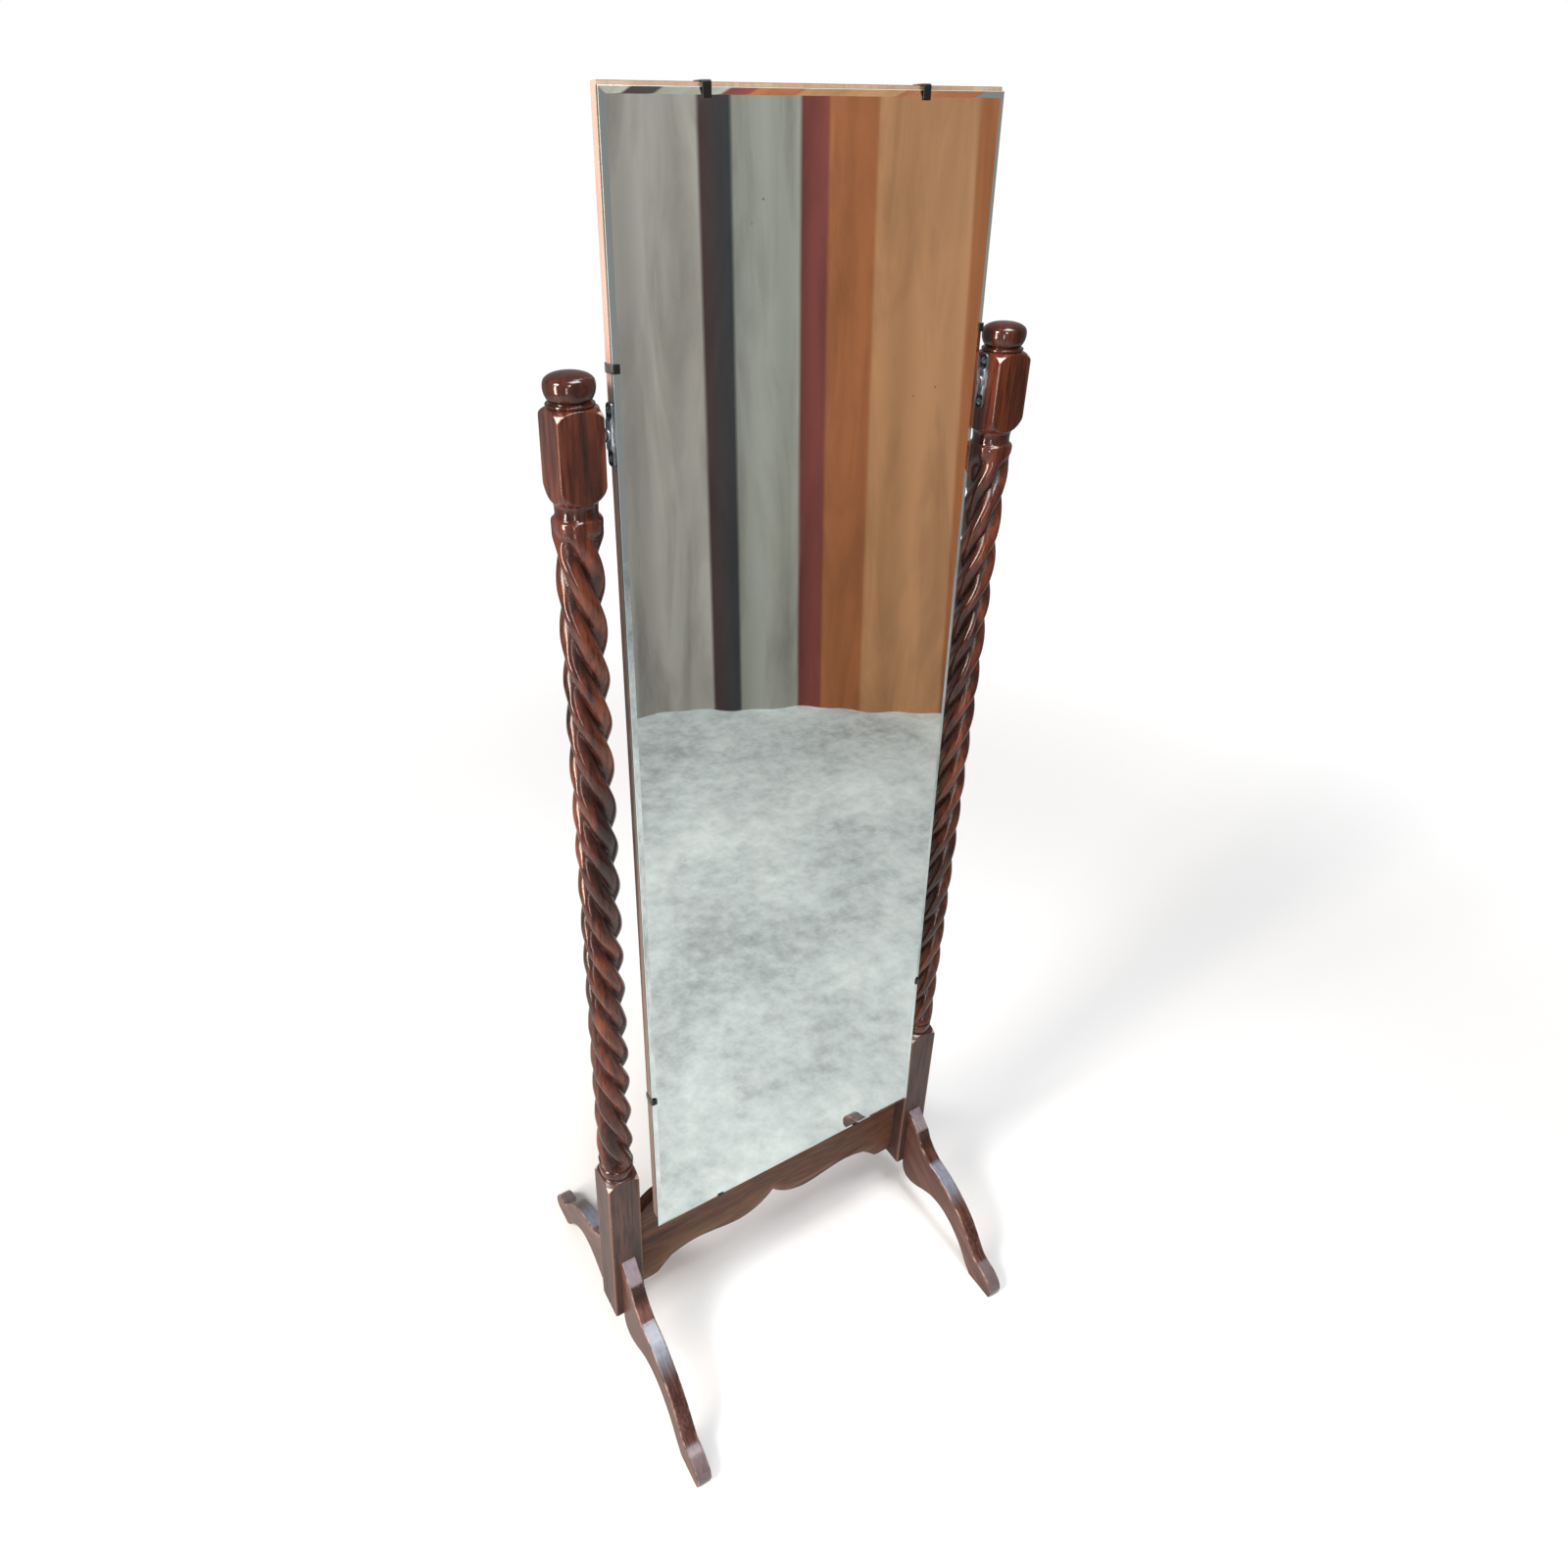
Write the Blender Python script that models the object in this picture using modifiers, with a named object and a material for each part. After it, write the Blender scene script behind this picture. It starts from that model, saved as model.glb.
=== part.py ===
"""Cheval floor mirror.

A tall bevelled glass on a plywood board swings between two barley-twist
uprights.  Each upright stands on one front and one rear shaped leg, and a
shaped rail ties the two uprights together low down.
Metres, +Z up.  The floor is Z = 0, the width runs along X and the glass
faces -Y.
"""
import math

import bmesh
import bpy
from mathutils import Matrix

# ---- driving dimensions -------------------------------------------------
POST_SIDE = 0.0445           # the square stock the uprights are turned from
POST_BOTTOM = 0.072          # underside of the base block above the floor
BASE_BLOCK_TOP = 0.346
POST_TOP = 1.3710
TWIST_STARTS = 4             # ridges running round each upright together
TWIST_LEAD = 0.206           # rise of one ridge in a full turn
TWIST_DEPTH = 0.0056         # from the crest of a ridge down to its groove
TURNING_LOSS = 0.00015       # taken off the stock's faces where it is round

LEG_THICKNESS = 0.0212
LEG_REACH = 0.234            # from the upright's axis to the tip of the toe
LEG_TOP = 0.178

RAIL_THICKNESS = 0.018
RAIL_FRONT = -0.002          # Y of the rail's front face

PIVOT_DROP = 0.0595          # the pivot line below the tops of the uprights
REST_TILT = 1.8              # degrees the top of the panel leans back
GLASS_WIDTH = 0.4227
SIDE_ROOM = 0.0164           # from the board's edge to the upright, for the fittings
GLASS_TOP = 0.2715           # glass edges, measured along the panel from the pivot
GLASS_BOTTOM = -1.0609
GLASS_THICKNESS = 0.0045
GLASS_BEVEL = 0.0060
BOARD_THICKNESS = 0.0102
BOARD_FRONT = -0.0042        # Y of the board's front face in the panel's frame
BOARD_RISE = 0.006           # the board stands above the glass at the top
BOARD_SHORT = 0.014          # and stops short of it at the bottom

CLIP_WIDTH = 0.0085
CLIP_STOCK = 0.0010
CLIP_TAB = 0.0062            # lap of a clip on the face of the glass
TOP_CLIP_X = 0.115
SIDE_CLIP_HIGH = 0.0575
SIDE_CLIP_LOW = -0.8275

DOWEL_RADIUS = 0.0040
PLATE_WIDTH = 0.0125
PLATE_HEIGHT = 0.058
PLATE_STOCK = 0.0024
PLATE_SCREW = 0.0215         # screw distance above and below the pivot
BOSS_RADIUS = 0.0062
STUD_RADIUS = 0.0030
STUD_PLAY = 0.00006          # running clearance of the stud in its bores
GAP = 0.0003                 # clearance kept between touching pieces

UPRIGHT_SPACING = GLASS_WIDTH + 2 * SIDE_ROOM + POST_SIDE
HALF = UPRIGHT_SPACING / 2
STOCK = POST_SIDE / 2
PIVOT_HEIGHT = POST_TOP - PIVOT_DROP
TWIST_TOP = POST_TOP - 0.137
TWIST_BOTTOM = BASE_BLOCK_TOP + 0.010
TWIST_CREST = STOCK - TURNING_LOSS
TWIST_ROOT = TWIST_CREST - TWIST_DEPTH
LEG_ROOT = STOCK + GAP
BOARD_BACK = BOARD_FRONT + BOARD_THICKNESS
GLASS_BACK = BOARD_FRONT - GAP
GLASS_FRONT = GLASS_BACK - GLASS_THICKNESS
BOARD_TOP = GLASS_TOP + BOARD_RISE
BOARD_BOTTOM = GLASS_BOTTOM + BOARD_SHORT

# ---- scene set-up -------------------------------------------------------
for old in list(bpy.data.objects):
    bpy.data.objects.remove(old, do_unlink=True)

parts = bpy.data.collections.new("cheval_floor_mirror")
cutters = bpy.data.collections.new("cutters")
bpy.context.scene.collection.children.link(parts)
bpy.context.scene.collection.children.link(cutters)


def material(name, colour, roughness, metallic=0.0):
    """A plain Principled material with the given colour and finish."""
    mat = bpy.data.materials.new(name)
    mat.use_nodes = True
    shader = mat.node_tree.nodes["Principled BSDF"]
    shader.inputs["Base Color"].default_value = (*colour, 1.0)
    shader.inputs["Roughness"].default_value = roughness
    shader.inputs["Metallic"].default_value = metallic
    return mat


TURNED_WOOD = material("turned_wood", (0.105, 0.024, 0.013), 0.28)
LEG_WOOD = material("leg_wood", (0.150, 0.060, 0.045), 0.42)
RAIL_WOOD = material("rail_wood", (0.130, 0.060, 0.035), 0.50)
DOWEL_WOOD = material("dowel_wood", (0.55, 0.40, 0.24), 0.70)
BOARD_PLY = material("board_ply", (0.62, 0.40, 0.28), 0.75)
SILVERED = material("silvered_glass", (0.85, 0.89, 0.88), 0.03, 1.0)
CLIP_METAL = material("clip_metal", (0.10, 0.10, 0.10), 0.40, 1.0)
STEEL = material("fitting_steel", (0.30, 0.33, 0.36), 0.35, 1.0)
FIBRE = material("washer_fibre", (0.09, 0.03, 0.02), 0.80)


def link(obj, group, mat=None):
    """Put an object in its collection and give it its material."""
    group.objects.link(obj)
    if mat is not None:
        obj.data.materials.clear()
        obj.data.materials.append(mat)
    if group is cutters:
        obj.hide_render = True
        obj.display_type = "WIRE"
    return obj


def from_bmesh(name, bm, group, mat=None):
    """Turn a finished bmesh into an object."""
    bmesh.ops.recalc_face_normals(bm, faces=bm.faces[:])
    mesh = bpy.data.meshes.new(name)
    bm.to_mesh(mesh)
    bm.free()
    return link(bpy.data.objects.new(name, mesh), group, mat)


def smooth(obj, angle=35.0):
    """Shade a round piece smooth, with its real edges kept sharp."""
    obj.data.shade_smooth()
    obj.data.set_sharp_from_angle(angle=math.radians(angle))
    return obj


def box(name, size, centre, group, mat=None):
    """A box of the given size about the given centre."""
    bm = bmesh.new()
    bmesh.ops.create_cube(bm, size=1.0)
    bmesh.ops.scale(bm, vec=size, verts=bm.verts)
    bmesh.ops.translate(bm, vec=centre, verts=bm.verts)
    return from_bmesh(name, bm, group, mat)


def turned(name, profile, steps, group, mat=None):
    """A turned shape: (radius, height) points from the top down, swept about Z."""
    mesh = bpy.data.meshes.new(name)
    verts = [(r, 0.0, z) for r, z in profile]
    mesh.from_pydata(verts, [(i, i + 1) for i in range(len(verts) - 1)], [])
    obj = link(bpy.data.objects.new(name, mesh), group, mat)
    mod = obj.modifiers.new("turn", "SCREW")
    mod.steps = steps
    mod.render_steps = steps
    mod.use_merge_vertices = True
    mod.merge_threshold = 0.00001
    return obj


def flat_piece(name, outline, thickness, group, mat=None, resolution=3):
    """A flat outline in XY, centred on Z = 0, as thick as given.

    Outline points are (x, y, corner): a corner point keeps its angle and the
    others are joined by a smooth curve.
    """
    curve = bpy.data.curves.new(name, "CURVE")
    curve.dimensions = "2D"
    curve.fill_mode = "BOTH"
    curve.extrude = thickness / 2
    curve.resolution_u = resolution
    curve.render_resolution_u = 0
    spline = curve.splines.new("BEZIER")
    spline.bezier_points.add(len(outline) - 1)
    for point, (x, y, corner) in zip(spline.bezier_points, outline):
        point.co = (x, y, 0.0)
        kind = "VECTOR" if corner else "AUTO"
        point.handle_left_type = kind
        point.handle_right_type = kind
    spline.use_cyclic_u = True
    source = bpy.data.objects.new(name + "_outline", curve)
    cutters.objects.link(source)
    bpy.context.view_layer.update()
    graph = bpy.context.evaluated_depsgraph_get()
    mesh = bpy.data.meshes.new_from_object(source.evaluated_get(graph))
    bpy.data.objects.remove(source, do_unlink=True)
    bm = bmesh.new()
    bm.from_mesh(mesh)
    bmesh.ops.remove_doubles(bm, verts=bm.verts[:], dist=0.00002)
    return from_bmesh(name, bm, group, mat)


def rod_cutter(name, rods, segments=12):
    """One cutter made of round rods.

    Each rod is (centre, axis, radius, length), its axis being "X", "Y" or "Z".
    """
    bm = bmesh.new()
    for centre, axis, radius, length in rods:
        made = bmesh.ops.create_cone(
            bm, cap_ends=True, segments=segments,
            radius1=radius, radius2=radius, depth=length)
        turn_to_axis(bm, made["verts"], axis)
        bmesh.ops.translate(bm, vec=centre, verts=made["verts"])
    return from_bmesh(name, bm, cutters)


def turn_to_axis(bm, verts, axis):
    """Turn vertices made about Z so that they lie about another axis."""
    angle = math.radians(90.0)
    if axis == "X":
        bmesh.ops.rotate(bm, verts=verts, cent=(0, 0, 0), matrix=rotation(angle, "Y"))
    if axis == "Y":
        bmesh.ops.rotate(bm, verts=verts, cent=(0, 0, 0), matrix=rotation(-angle, "X"))


def rotation(angle, axis):
    """A plain 3 x 3 rotation about one axis."""
    return Matrix.Rotation(angle, 3, axis)


def boolean(obj, other, operation="DIFFERENCE"):
    """Cut an object with another, or join or intersect them."""
    mod = obj.modifiers.new(operation.lower(), "BOOLEAN")
    mod.operation = operation
    mod.solver = "EXACT"
    mod.object = other
    return obj


# ---- uprights -----------------------------------------------------------
# Everything is turned from one square length, so no turned part is wider
# than the square blocks that are left at the top and at the foot.
OUTSIDE = POST_SIDE * 0.73 - STOCK    # just clears the square's corners

# (how far outside the stock's flat face, drop below the top)
HEAD_TURNING = [
    # mushroom-shaped finial
    (-0.01225, 0.0015), (-0.00575, 0.0048), (-0.00175, 0.0085),
    (-0.00015, 0.0120), (-0.00085, 0.0165), (-0.00325, 0.0220), (-0.00435, 0.0260),
    # thin disc under it
    (-0.00195, 0.0268), (-0.00175, 0.0292), (-0.00345, 0.0310),
    # shoulder of the upper square block
    (-0.00105, 0.0330), (0.00625, 0.0375), (OUTSIDE, 0.0430),
    # lower end of the block, turned away to a neck
    (OUTSIDE, 0.0920), (0.00775, 0.1020), (0.00355, 0.1095), (-0.00265, 0.1135),
    # hollow neck
    (-0.00415, 0.1185), (-0.00415, 0.1260), (-0.00295, 0.1305),
    # collar that starts the twist, then the core inside the twist
    (-0.00075, 0.1330), (-0.00015, 0.1380), (-0.00175, 0.1435), (-0.00725, 0.1470),
]
# (how far outside the stock's flat face, height above the base block)
FOOT_TURNING = [
    # end of the core and the bead below the twist
    (-0.00725, 0.0220), (-0.00225, 0.0180), (-0.00025, 0.0120), (-0.00095, 0.0050),
    (-0.00225, 0.0018),
    # shoulder of the base block
    (-0.00075, 0.0), (0.00475, -0.0025), (0.00775, -0.0060), (OUTSIDE, -0.0110),
]


def turned_profile():
    """The whole lathe profile, (radius, height) from the top down."""
    head = [(STOCK + out, POST_TOP - drop) for out, drop in HEAD_TURNING]
    foot = [(STOCK + out, BASE_BLOCK_TOP + rise) for out, rise in FOOT_TURNING]
    end = [(STOCK + OUTSIDE, POST_BOTTOM), (0.0, POST_BOTTOM)]
    return [(0.0, POST_TOP)] + head + foot + end


def twist_solid(name, hand):
    """The barley twist: a four-lobed section turning steadily as it rises.

    The radius swings between root and crest once for each start, and the
    section turns by one full turn for each lead.  hand is +1 for a ridge
    that rises to the right seen from the front, -1 for one that rises left.
    """
    bm = bmesh.new()
    count = TWIST_STARTS * 6
    for i in range(count):
        turn = 2 * math.pi * i / count
        swell = abs(math.cos(TWIST_STARTS * turn / 2))
        radius = TWIST_ROOT + (TWIST_CREST - TWIST_ROOT) * swell
        bm.verts.new((radius * math.cos(turn), radius * math.sin(turn), TWIST_BOTTOM))
    bm.verts.ensure_lookup_table()
    for i in range(count):
        bm.edges.new((bm.verts[i], bm.verts[(i + 1) % count]))
    height = TWIST_TOP - 0.002 - TWIST_BOTTOM
    steps = 48
    bmesh.ops.spin(
        bm, geom=bm.verts[:] + bm.edges[:], cent=(0, 0, 0), axis=(0, 0, 1),
        dvec=(0, 0, height / steps),
        angle=hand * 2 * math.pi * height / TWIST_LEAD, steps=steps,
        use_merge=False, use_duplicate=False)
    bmesh.ops.holes_fill(bm, edges=bm.edges[:], sides=0)
    bmesh.ops.triangulate(bm, faces=bm.faces[:])
    return from_bmesh(name, bm, cutters)


def upright(name, side):
    """One upright: square stock, turned, twisted and bored for its dowels."""
    x = side * HALF
    body = turned(name, turned_profile(), 24, parts, TURNED_WOOD)
    body.location = (x, 0.0, 0.0)
    stock = box(name + "_stock", (POST_SIDE, POST_SIDE, POST_TOP + 0.030),
                (0, 0, POST_TOP / 2 + 0.035), cutters)
    stock.location = (x, 0.0, 0.0)
    boolean(body, stock, "INTERSECT")
    twist = twist_solid(name + "_twist", side)
    twist.location = (x, 0.0, 0.0)
    boolean(body, twist, "UNION")
    boolean(body, upright_holes(name, side))
    return body


def upright_holes(name, side):
    """Dowel holes for the legs and the rail, and screw holes for the plate."""
    x = side * HALF
    face = POST_SIDE / 2
    rods = []
    for y in (-face, face):
        for z in LEG_DOWEL_HEIGHTS:
            rods.append(((x, y, z), "Y", DOWEL_RADIUS + GAP, 0.0340))
    inner = x - side * face
    for z in RAIL_DOWEL_HEIGHTS:
        rods.append(((inner, RAIL_MIDDLE, z), "X", DOWEL_RADIUS + GAP, 0.0280))
    for dz in (-PLATE_SCREW, PLATE_SCREW):
        rods.append(((inner, 0.0, PIVOT_HEIGHT + dz), "X", 0.0018, 0.0340))
    return rod_cutter(name + "_holes", rods)


LEG_DOWEL_HEIGHTS = (0.096, 0.146)
RAIL_DOWEL_HEIGHTS = (0.125, 0.200)
RAIL_MIDDLE = RAIL_FRONT + RAIL_THICKNESS / 2

upright("left_upright", -1)
upright("right_upright", 1)

# ---- legs ---------------------------------------------------------------
# A leg is sawn from flat board.  Its outline has three stretches, each point
# being (distance out, height, corner).  The sloping top hangs from the leg's
# top, the knee and the hollow underside start at the upright's face, and the
# toe pad is measured back from the tip of the toe.
LEG_SLOPE = [
    (0.0, 0.0, True), (0.02445, -0.0180, True),
    (0.03245, -0.0310, False), (0.04245, -0.0420, False), (0.05645, -0.0520, True),
]
LEG_KNEE = [
    (0.06745, 0.1230, False), (0.08345, 0.1180, False), (0.10445, 0.1080, False),
    (0.12245, 0.0970, False),
]
LEG_TOE = [
    (-0.0740, 0.0850, False), (-0.0600, 0.0690, False),
    (-0.0490, 0.0540, False), (-0.0410, 0.0440, False), (-0.0330, 0.0385, True),
    (-0.0160, 0.0320, False), (-0.0050, 0.0230, False),
    (0.0, 0.0130, False), (-0.0010, 0.0040, False),
    (-0.0040, 0.0, True), (-0.0440, 0.0, True),
    (-0.0540, 0.0110, False), (-0.0640, 0.0250, False), (-0.0750, 0.0385, False),
    (-0.0880, 0.0500, False),
]
LEG_HOLLOW = [
    (0.10945, 0.0590, False), (0.09545, 0.0645, False),
    (0.08045, 0.0660, False), (0.06545, 0.0635, False), (0.05045, 0.0570, False),
    (0.03545, 0.0490, False), (0.02145, 0.0445, False), (0.01045, 0.0460, False),
    (0.00345, 0.0530, False), (0.0, 0.0640, True),
]


def leg_outline():
    """The leg's outline, (distance out from the upright's axis, height, corner)."""
    slope = [(LEG_ROOT + x, LEG_TOP + z, corner) for x, z, corner in LEG_SLOPE]
    knee = [(LEG_ROOT + x, z, corner) for x, z, corner in LEG_KNEE]
    toe = [(LEG_REACH + x, z, corner) for x, z, corner in LEG_TOE]
    hollow = [(LEG_ROOT + x, z, corner) for x, z, corner in LEG_HOLLOW]
    return slope + knee + toe + hollow


def leg(name, side, front):
    """One leg on the front (-1) or rear (+1) face of an upright."""
    obj = flat_piece(name, leg_outline(), LEG_THICKNESS, parts, LEG_WOOD)
    obj.rotation_euler = (math.radians(90), 0.0, math.radians(90 * front))
    obj.location = (side * HALF, 0.0, 0.0)
    face = front * POST_SIDE / 2
    rods = [((side * HALF, face, z), "Y", DOWEL_RADIUS + GAP, 0.0440)
            for z in LEG_DOWEL_HEIGHTS]
    boolean(obj, rod_cutter(name + "_holes", rods))
    smooth(obj)
    for z, level in zip(LEG_DOWEL_HEIGHTS, ("low", "high")):
        middle = face + front * 0.0025
        dowel(name + "_dowel_" + level, (side * HALF, middle, z), "Y", 0.0360)


def dowel(name, centre, axis, length):
    """A plain round dowel, hidden in the joint it holds."""
    bm = bmesh.new()
    made = bmesh.ops.create_cone(
        bm, cap_ends=True, segments=12,
        radius1=DOWEL_RADIUS, radius2=DOWEL_RADIUS, depth=length)
    turn_to_axis(bm, made["verts"], axis)
    obj = from_bmesh(name, bm, parts, DOWEL_WOOD)
    obj.location = centre
    return smooth(obj)


leg("front_left_leg", -1, -1)
leg("rear_left_leg", -1, 1)
leg("front_right_leg", 1, -1)
leg("rear_right_leg", 1, 1)

# ---- rail ---------------------------------------------------------------
# Half of the rail's outline from the middle out, (distance from the middle,
# height, corner).  The lower edge has a cusp in the middle, a drooping lobe,
# a long flat arch and a drop at the end.
RAIL_END = HALF - POST_SIDE / 2 - GAP
RAIL_LOWER = [
    (0.0080, 0.1290, False), (0.0230, 0.1180, False), (0.0400, 0.1110, False),
    (0.0590, 0.1080, False), (0.0800, 0.1100, False), (0.1050, 0.1145, False),
    (0.1300, 0.1175, False),
    (RAIL_END - 0.07545, 0.1155, False), (RAIL_END - 0.05545, 0.1100, True),
    (RAIL_END - 0.04245, 0.0985, False), (RAIL_END - 0.03245, 0.0885, False),
    (RAIL_END - 0.02445, 0.0860, True), (RAIL_END, 0.0860, True),
]
RAIL_UPPER = [
    (RAIL_END, 0.2340, True),
    (RAIL_END - 0.01045, 0.2385, False), (RAIL_END - 0.02245, 0.2480, False),
    (RAIL_END - 0.03745, 0.2550, False), (RAIL_END - 0.06745, 0.2585, False),
    (0.0800, 0.2610, False),
]


def rail():
    """The shaped rail between the uprights, with its four dowels."""
    right = RAIL_LOWER + RAIL_UPPER
    left = [(-x, z, corner) for x, z, corner in reversed(right)]
    outline = [(0.0, 0.1370, True)] + right + [(0.0, 0.2620, False)] + left
    obj = flat_piece("rail", outline, RAIL_THICKNESS, parts, RAIL_WOOD)
    obj.rotation_euler = (math.radians(90), 0.0, 0.0)
    obj.location = (0.0, RAIL_MIDDLE, 0.0)
    rods = []
    for side in (-1, 1):
        for z in RAIL_DOWEL_HEIGHTS:
            rods.append(((side * RAIL_END, RAIL_MIDDLE, z), "X", DOWEL_RADIUS + GAP, 0.0440))
    boolean(obj, rod_cutter("rail_holes", rods))
    smooth(obj)
    for side, hand in ((-1, "left"), (1, "right")):
        for z, level in zip(RAIL_DOWEL_HEIGHTS, ("low", "high")):
            middle = side * (RAIL_END - 0.0040)
            dowel("rail_dowel_%s_%s" % (hand, level), (middle, RAIL_MIDDLE, z), "X", 0.0330)


rail()

# ---- swinging panel -----------------------------------------------------
# The panel's own frame has its origin on the pivot line.  Everything that
# swings is parented to this empty, which leans back at the rest tilt.
hinge = bpy.data.objects.new("panel_pivot", None)
hinge.location = (0.0, 0.0, PIVOT_HEIGHT)
hinge.rotation_euler = (math.radians(-REST_TILT), 0.0, 0.0)
parts.objects.link(hinge)
bpy.context.view_layer.update()


def hang(obj):
    """Parent a piece, modelled in the panel's frame, to the pivot."""
    obj.parent = hinge
    return obj


def glass():
    """The plate of glass with a ground bevel round its front face."""
    height = GLASS_TOP - GLASS_BOTTOM
    bm = bmesh.new()
    bmesh.ops.create_cube(bm, size=1.0)
    bmesh.ops.scale(bm, vec=(GLASS_WIDTH, GLASS_THICKNESS, height), verts=bm.verts)
    middle = (0.0, (GLASS_FRONT + GLASS_BACK) / 2, (GLASS_TOP + GLASS_BOTTOM) / 2)
    bmesh.ops.translate(bm, vec=middle, verts=bm.verts)
    face = min(bm.faces, key=lambda f: f.calc_center_median().y)
    corners = face.verts[:]
    bmesh.ops.inset_individual(bm, faces=[face], thickness=GLASS_BEVEL, depth=0.0)
    bmesh.ops.translate(bm, vec=(0.0, 0.0016, 0.0), verts=corners)
    hang(from_bmesh("mirror_glass", bm, parts, SILVERED))


def backboard():
    """The plywood board behind the glass, drilled for all its screws."""
    obj = box("backboard",
              (GLASS_WIDTH, BOARD_THICKNESS, BOARD_TOP - BOARD_BOTTOM),
              (0.0, (BOARD_FRONT + BOARD_BACK) / 2, (BOARD_TOP + BOARD_BOTTOM) / 2),
              parts, BOARD_PLY)
    hang(obj)
    rods = []
    for _, spot, _, _, _ in CLIPS:
        rods.append(((spot[0], BOARD_BACK, spot[1]), "Y", 0.0017, 0.0160))
    for side in (-1, 1):
        for dz in (-PLATE_SCREW, PLATE_SCREW):
            rods.append(((side * GLASS_WIDTH / 2, 0.0, dz), "X", 0.0017, 0.0300))
    boolean(obj, hang(rod_cutter("backboard_holes", rods, 10)))


# Clips: name, screw spot (x, z), lap direction, length of the back leaf and
# lap on the front, both measured from the edge the clip bends round.
EDGE = GLASS_WIDTH / 2
LEAF = 0.0180
CLIPS = [
    ("clip_top_left", (-TOP_CLIP_X, BOARD_TOP - 0.011), "top", LEAF, CLIP_TAB + BOARD_RISE),
    ("clip_top_right", (TOP_CLIP_X, BOARD_TOP - 0.011), "top", LEAF, CLIP_TAB + BOARD_RISE),
    ("clip_bottom_left", (-TOP_CLIP_X, BOARD_BOTTOM + 0.011), "bottom",
     LEAF + BOARD_SHORT, 0.0045),
    ("clip_bottom_right", (TOP_CLIP_X, BOARD_BOTTOM + 0.011), "bottom",
     LEAF + BOARD_SHORT, 0.0045),
    ("clip_left_high", (-EDGE + 0.011, SIDE_CLIP_HIGH), "left", LEAF, CLIP_TAB),
    ("clip_left_low", (-EDGE + 0.011, SIDE_CLIP_LOW), "left", LEAF, CLIP_TAB),
    ("clip_right_high", (EDGE - 0.011, SIDE_CLIP_HIGH), "right", LEAF, CLIP_TAB),
    ("clip_right_low", (EDGE - 0.011, SIDE_CLIP_LOW), "right", LEAF, CLIP_TAB),
]
CLIP_TURN = {"left": 0.0, "top": 90.0, "right": 180.0, "bottom": -90.0}


def clip(name, spot, way, leaf, lap):
    """A strip bent round the panel's edge: front tab, edge and back leaf.

    The strip is modelled on the left edge, with X into the panel, and is
    then turned to its own edge.
    """
    front = GLASS_FRONT - GAP
    back = BOARD_BACK + GAP
    t = CLIP_STOCK
    outline = [
        (lap, front, True), (-GAP, front, True), (-GAP, back, True), (leaf, back, True),
        (leaf, back + t, True), (-GAP - t, back + t, True), (-GAP - t, front - t, True),
        (lap, front - t, True),
    ]
    obj = flat_piece(name, outline, CLIP_WIDTH, parts, CLIP_METAL, 1)
    edges = {"left": (-EDGE, spot[1]), "right": (EDGE, spot[1]),
             "top": (spot[0], BOARD_TOP), "bottom": (spot[0], GLASS_BOTTOM)}
    obj.rotation_euler = (0.0, math.radians(CLIP_TURN[way]), 0.0)
    obj.location = (edges[way][0], 0.0, edges[way][1])
    hang(obj)
    hole = rod_cutter(name + "_hole", [((spot[0], back, spot[1]), "Y", 0.0018, 0.0080)], 12)
    boolean(obj, hang(hole))
    round_head_screw(name + "_screw", (spot[0], back + t + GAP, spot[1]))


def round_head_screw(name, seat):
    """A short round-headed screw, its head on the clip's back leaf."""
    profile = [
        (0.0, 0.0016), (0.0016, 0.0013), (0.0028, 0.0006), (0.0030, 0.0),
        (0.0014, 0.0), (0.0014, -0.0068), (0.0, -0.0078),
    ]
    obj = turned(name, profile, 10, parts, CLIP_METAL)
    obj.rotation_euler = (math.radians(-90), 0.0, 0.0)
    obj.location = seat
    hang(obj)


glass()
backboard()
for item in CLIPS:
    clip(*item)

# ---- swing fittings -----------------------------------------------------
# On each side a plate on the upright and a plate on the board's edge face
# each other.  A stud held by the board's plate turns in the upright's plate,
# with a fibre washer pinched between the two bosses.
POST_FACE = HALF - POST_SIDE / 2
UPRIGHT_BOSS_END = POST_FACE - GAP - 0.0078
WASHER_THICKNESS = 0.0010
BOARD_BOSS_END = UPRIGHT_BOSS_END - WASHER_THICKNESS - 2 * GAP


def plate_outline(width, height):
    """A plate with round ends: two straight sides and two half-round ears."""
    r = width / 2
    h = height / 2 - r
    points = []
    for i in range(9):
        turn = math.pi * i / 8
        points.append((r * math.cos(turn), h + r * math.sin(turn), True))
    for i in range(9):
        turn = math.pi + math.pi * i / 8
        points.append((r * math.cos(turn), -h + r * math.sin(turn), True))
    return points


def fitting_plate(name, side, seat, boss_end, toward):
    """A plate seated at X = side * seat with its boss reaching to boss_end.

    toward is -1 for the upright's plate, whose boss points to the middle of
    the mirror, and +1 for the board's plate, whose boss points outward.
    """
    plate = flat_piece(name, plate_outline(PLATE_WIDTH, PLATE_HEIGHT), PLATE_STOCK,
                       parts, STEEL, 1)
    plate.rotation_euler = (math.radians(90), 0.0, math.radians(90))
    middle = seat + toward * PLATE_STOCK / 2
    plate.location = (side * middle, 0.0, PIVOT_HEIGHT)
    inside = seat + toward * PLATE_STOCK / 2
    reach = abs(boss_end - inside)
    centre = side * (boss_end + inside) / 2
    boss = rod_cutter(name + "_boss", [((centre, 0.0, PIVOT_HEIGHT), "X", BOSS_RADIUS, reach)], 24)
    boolean(plate, boss, "UNION")
    boolean(plate, plate_holes(name, side, seat, toward))
    return smooth(plate, 30)


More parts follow.
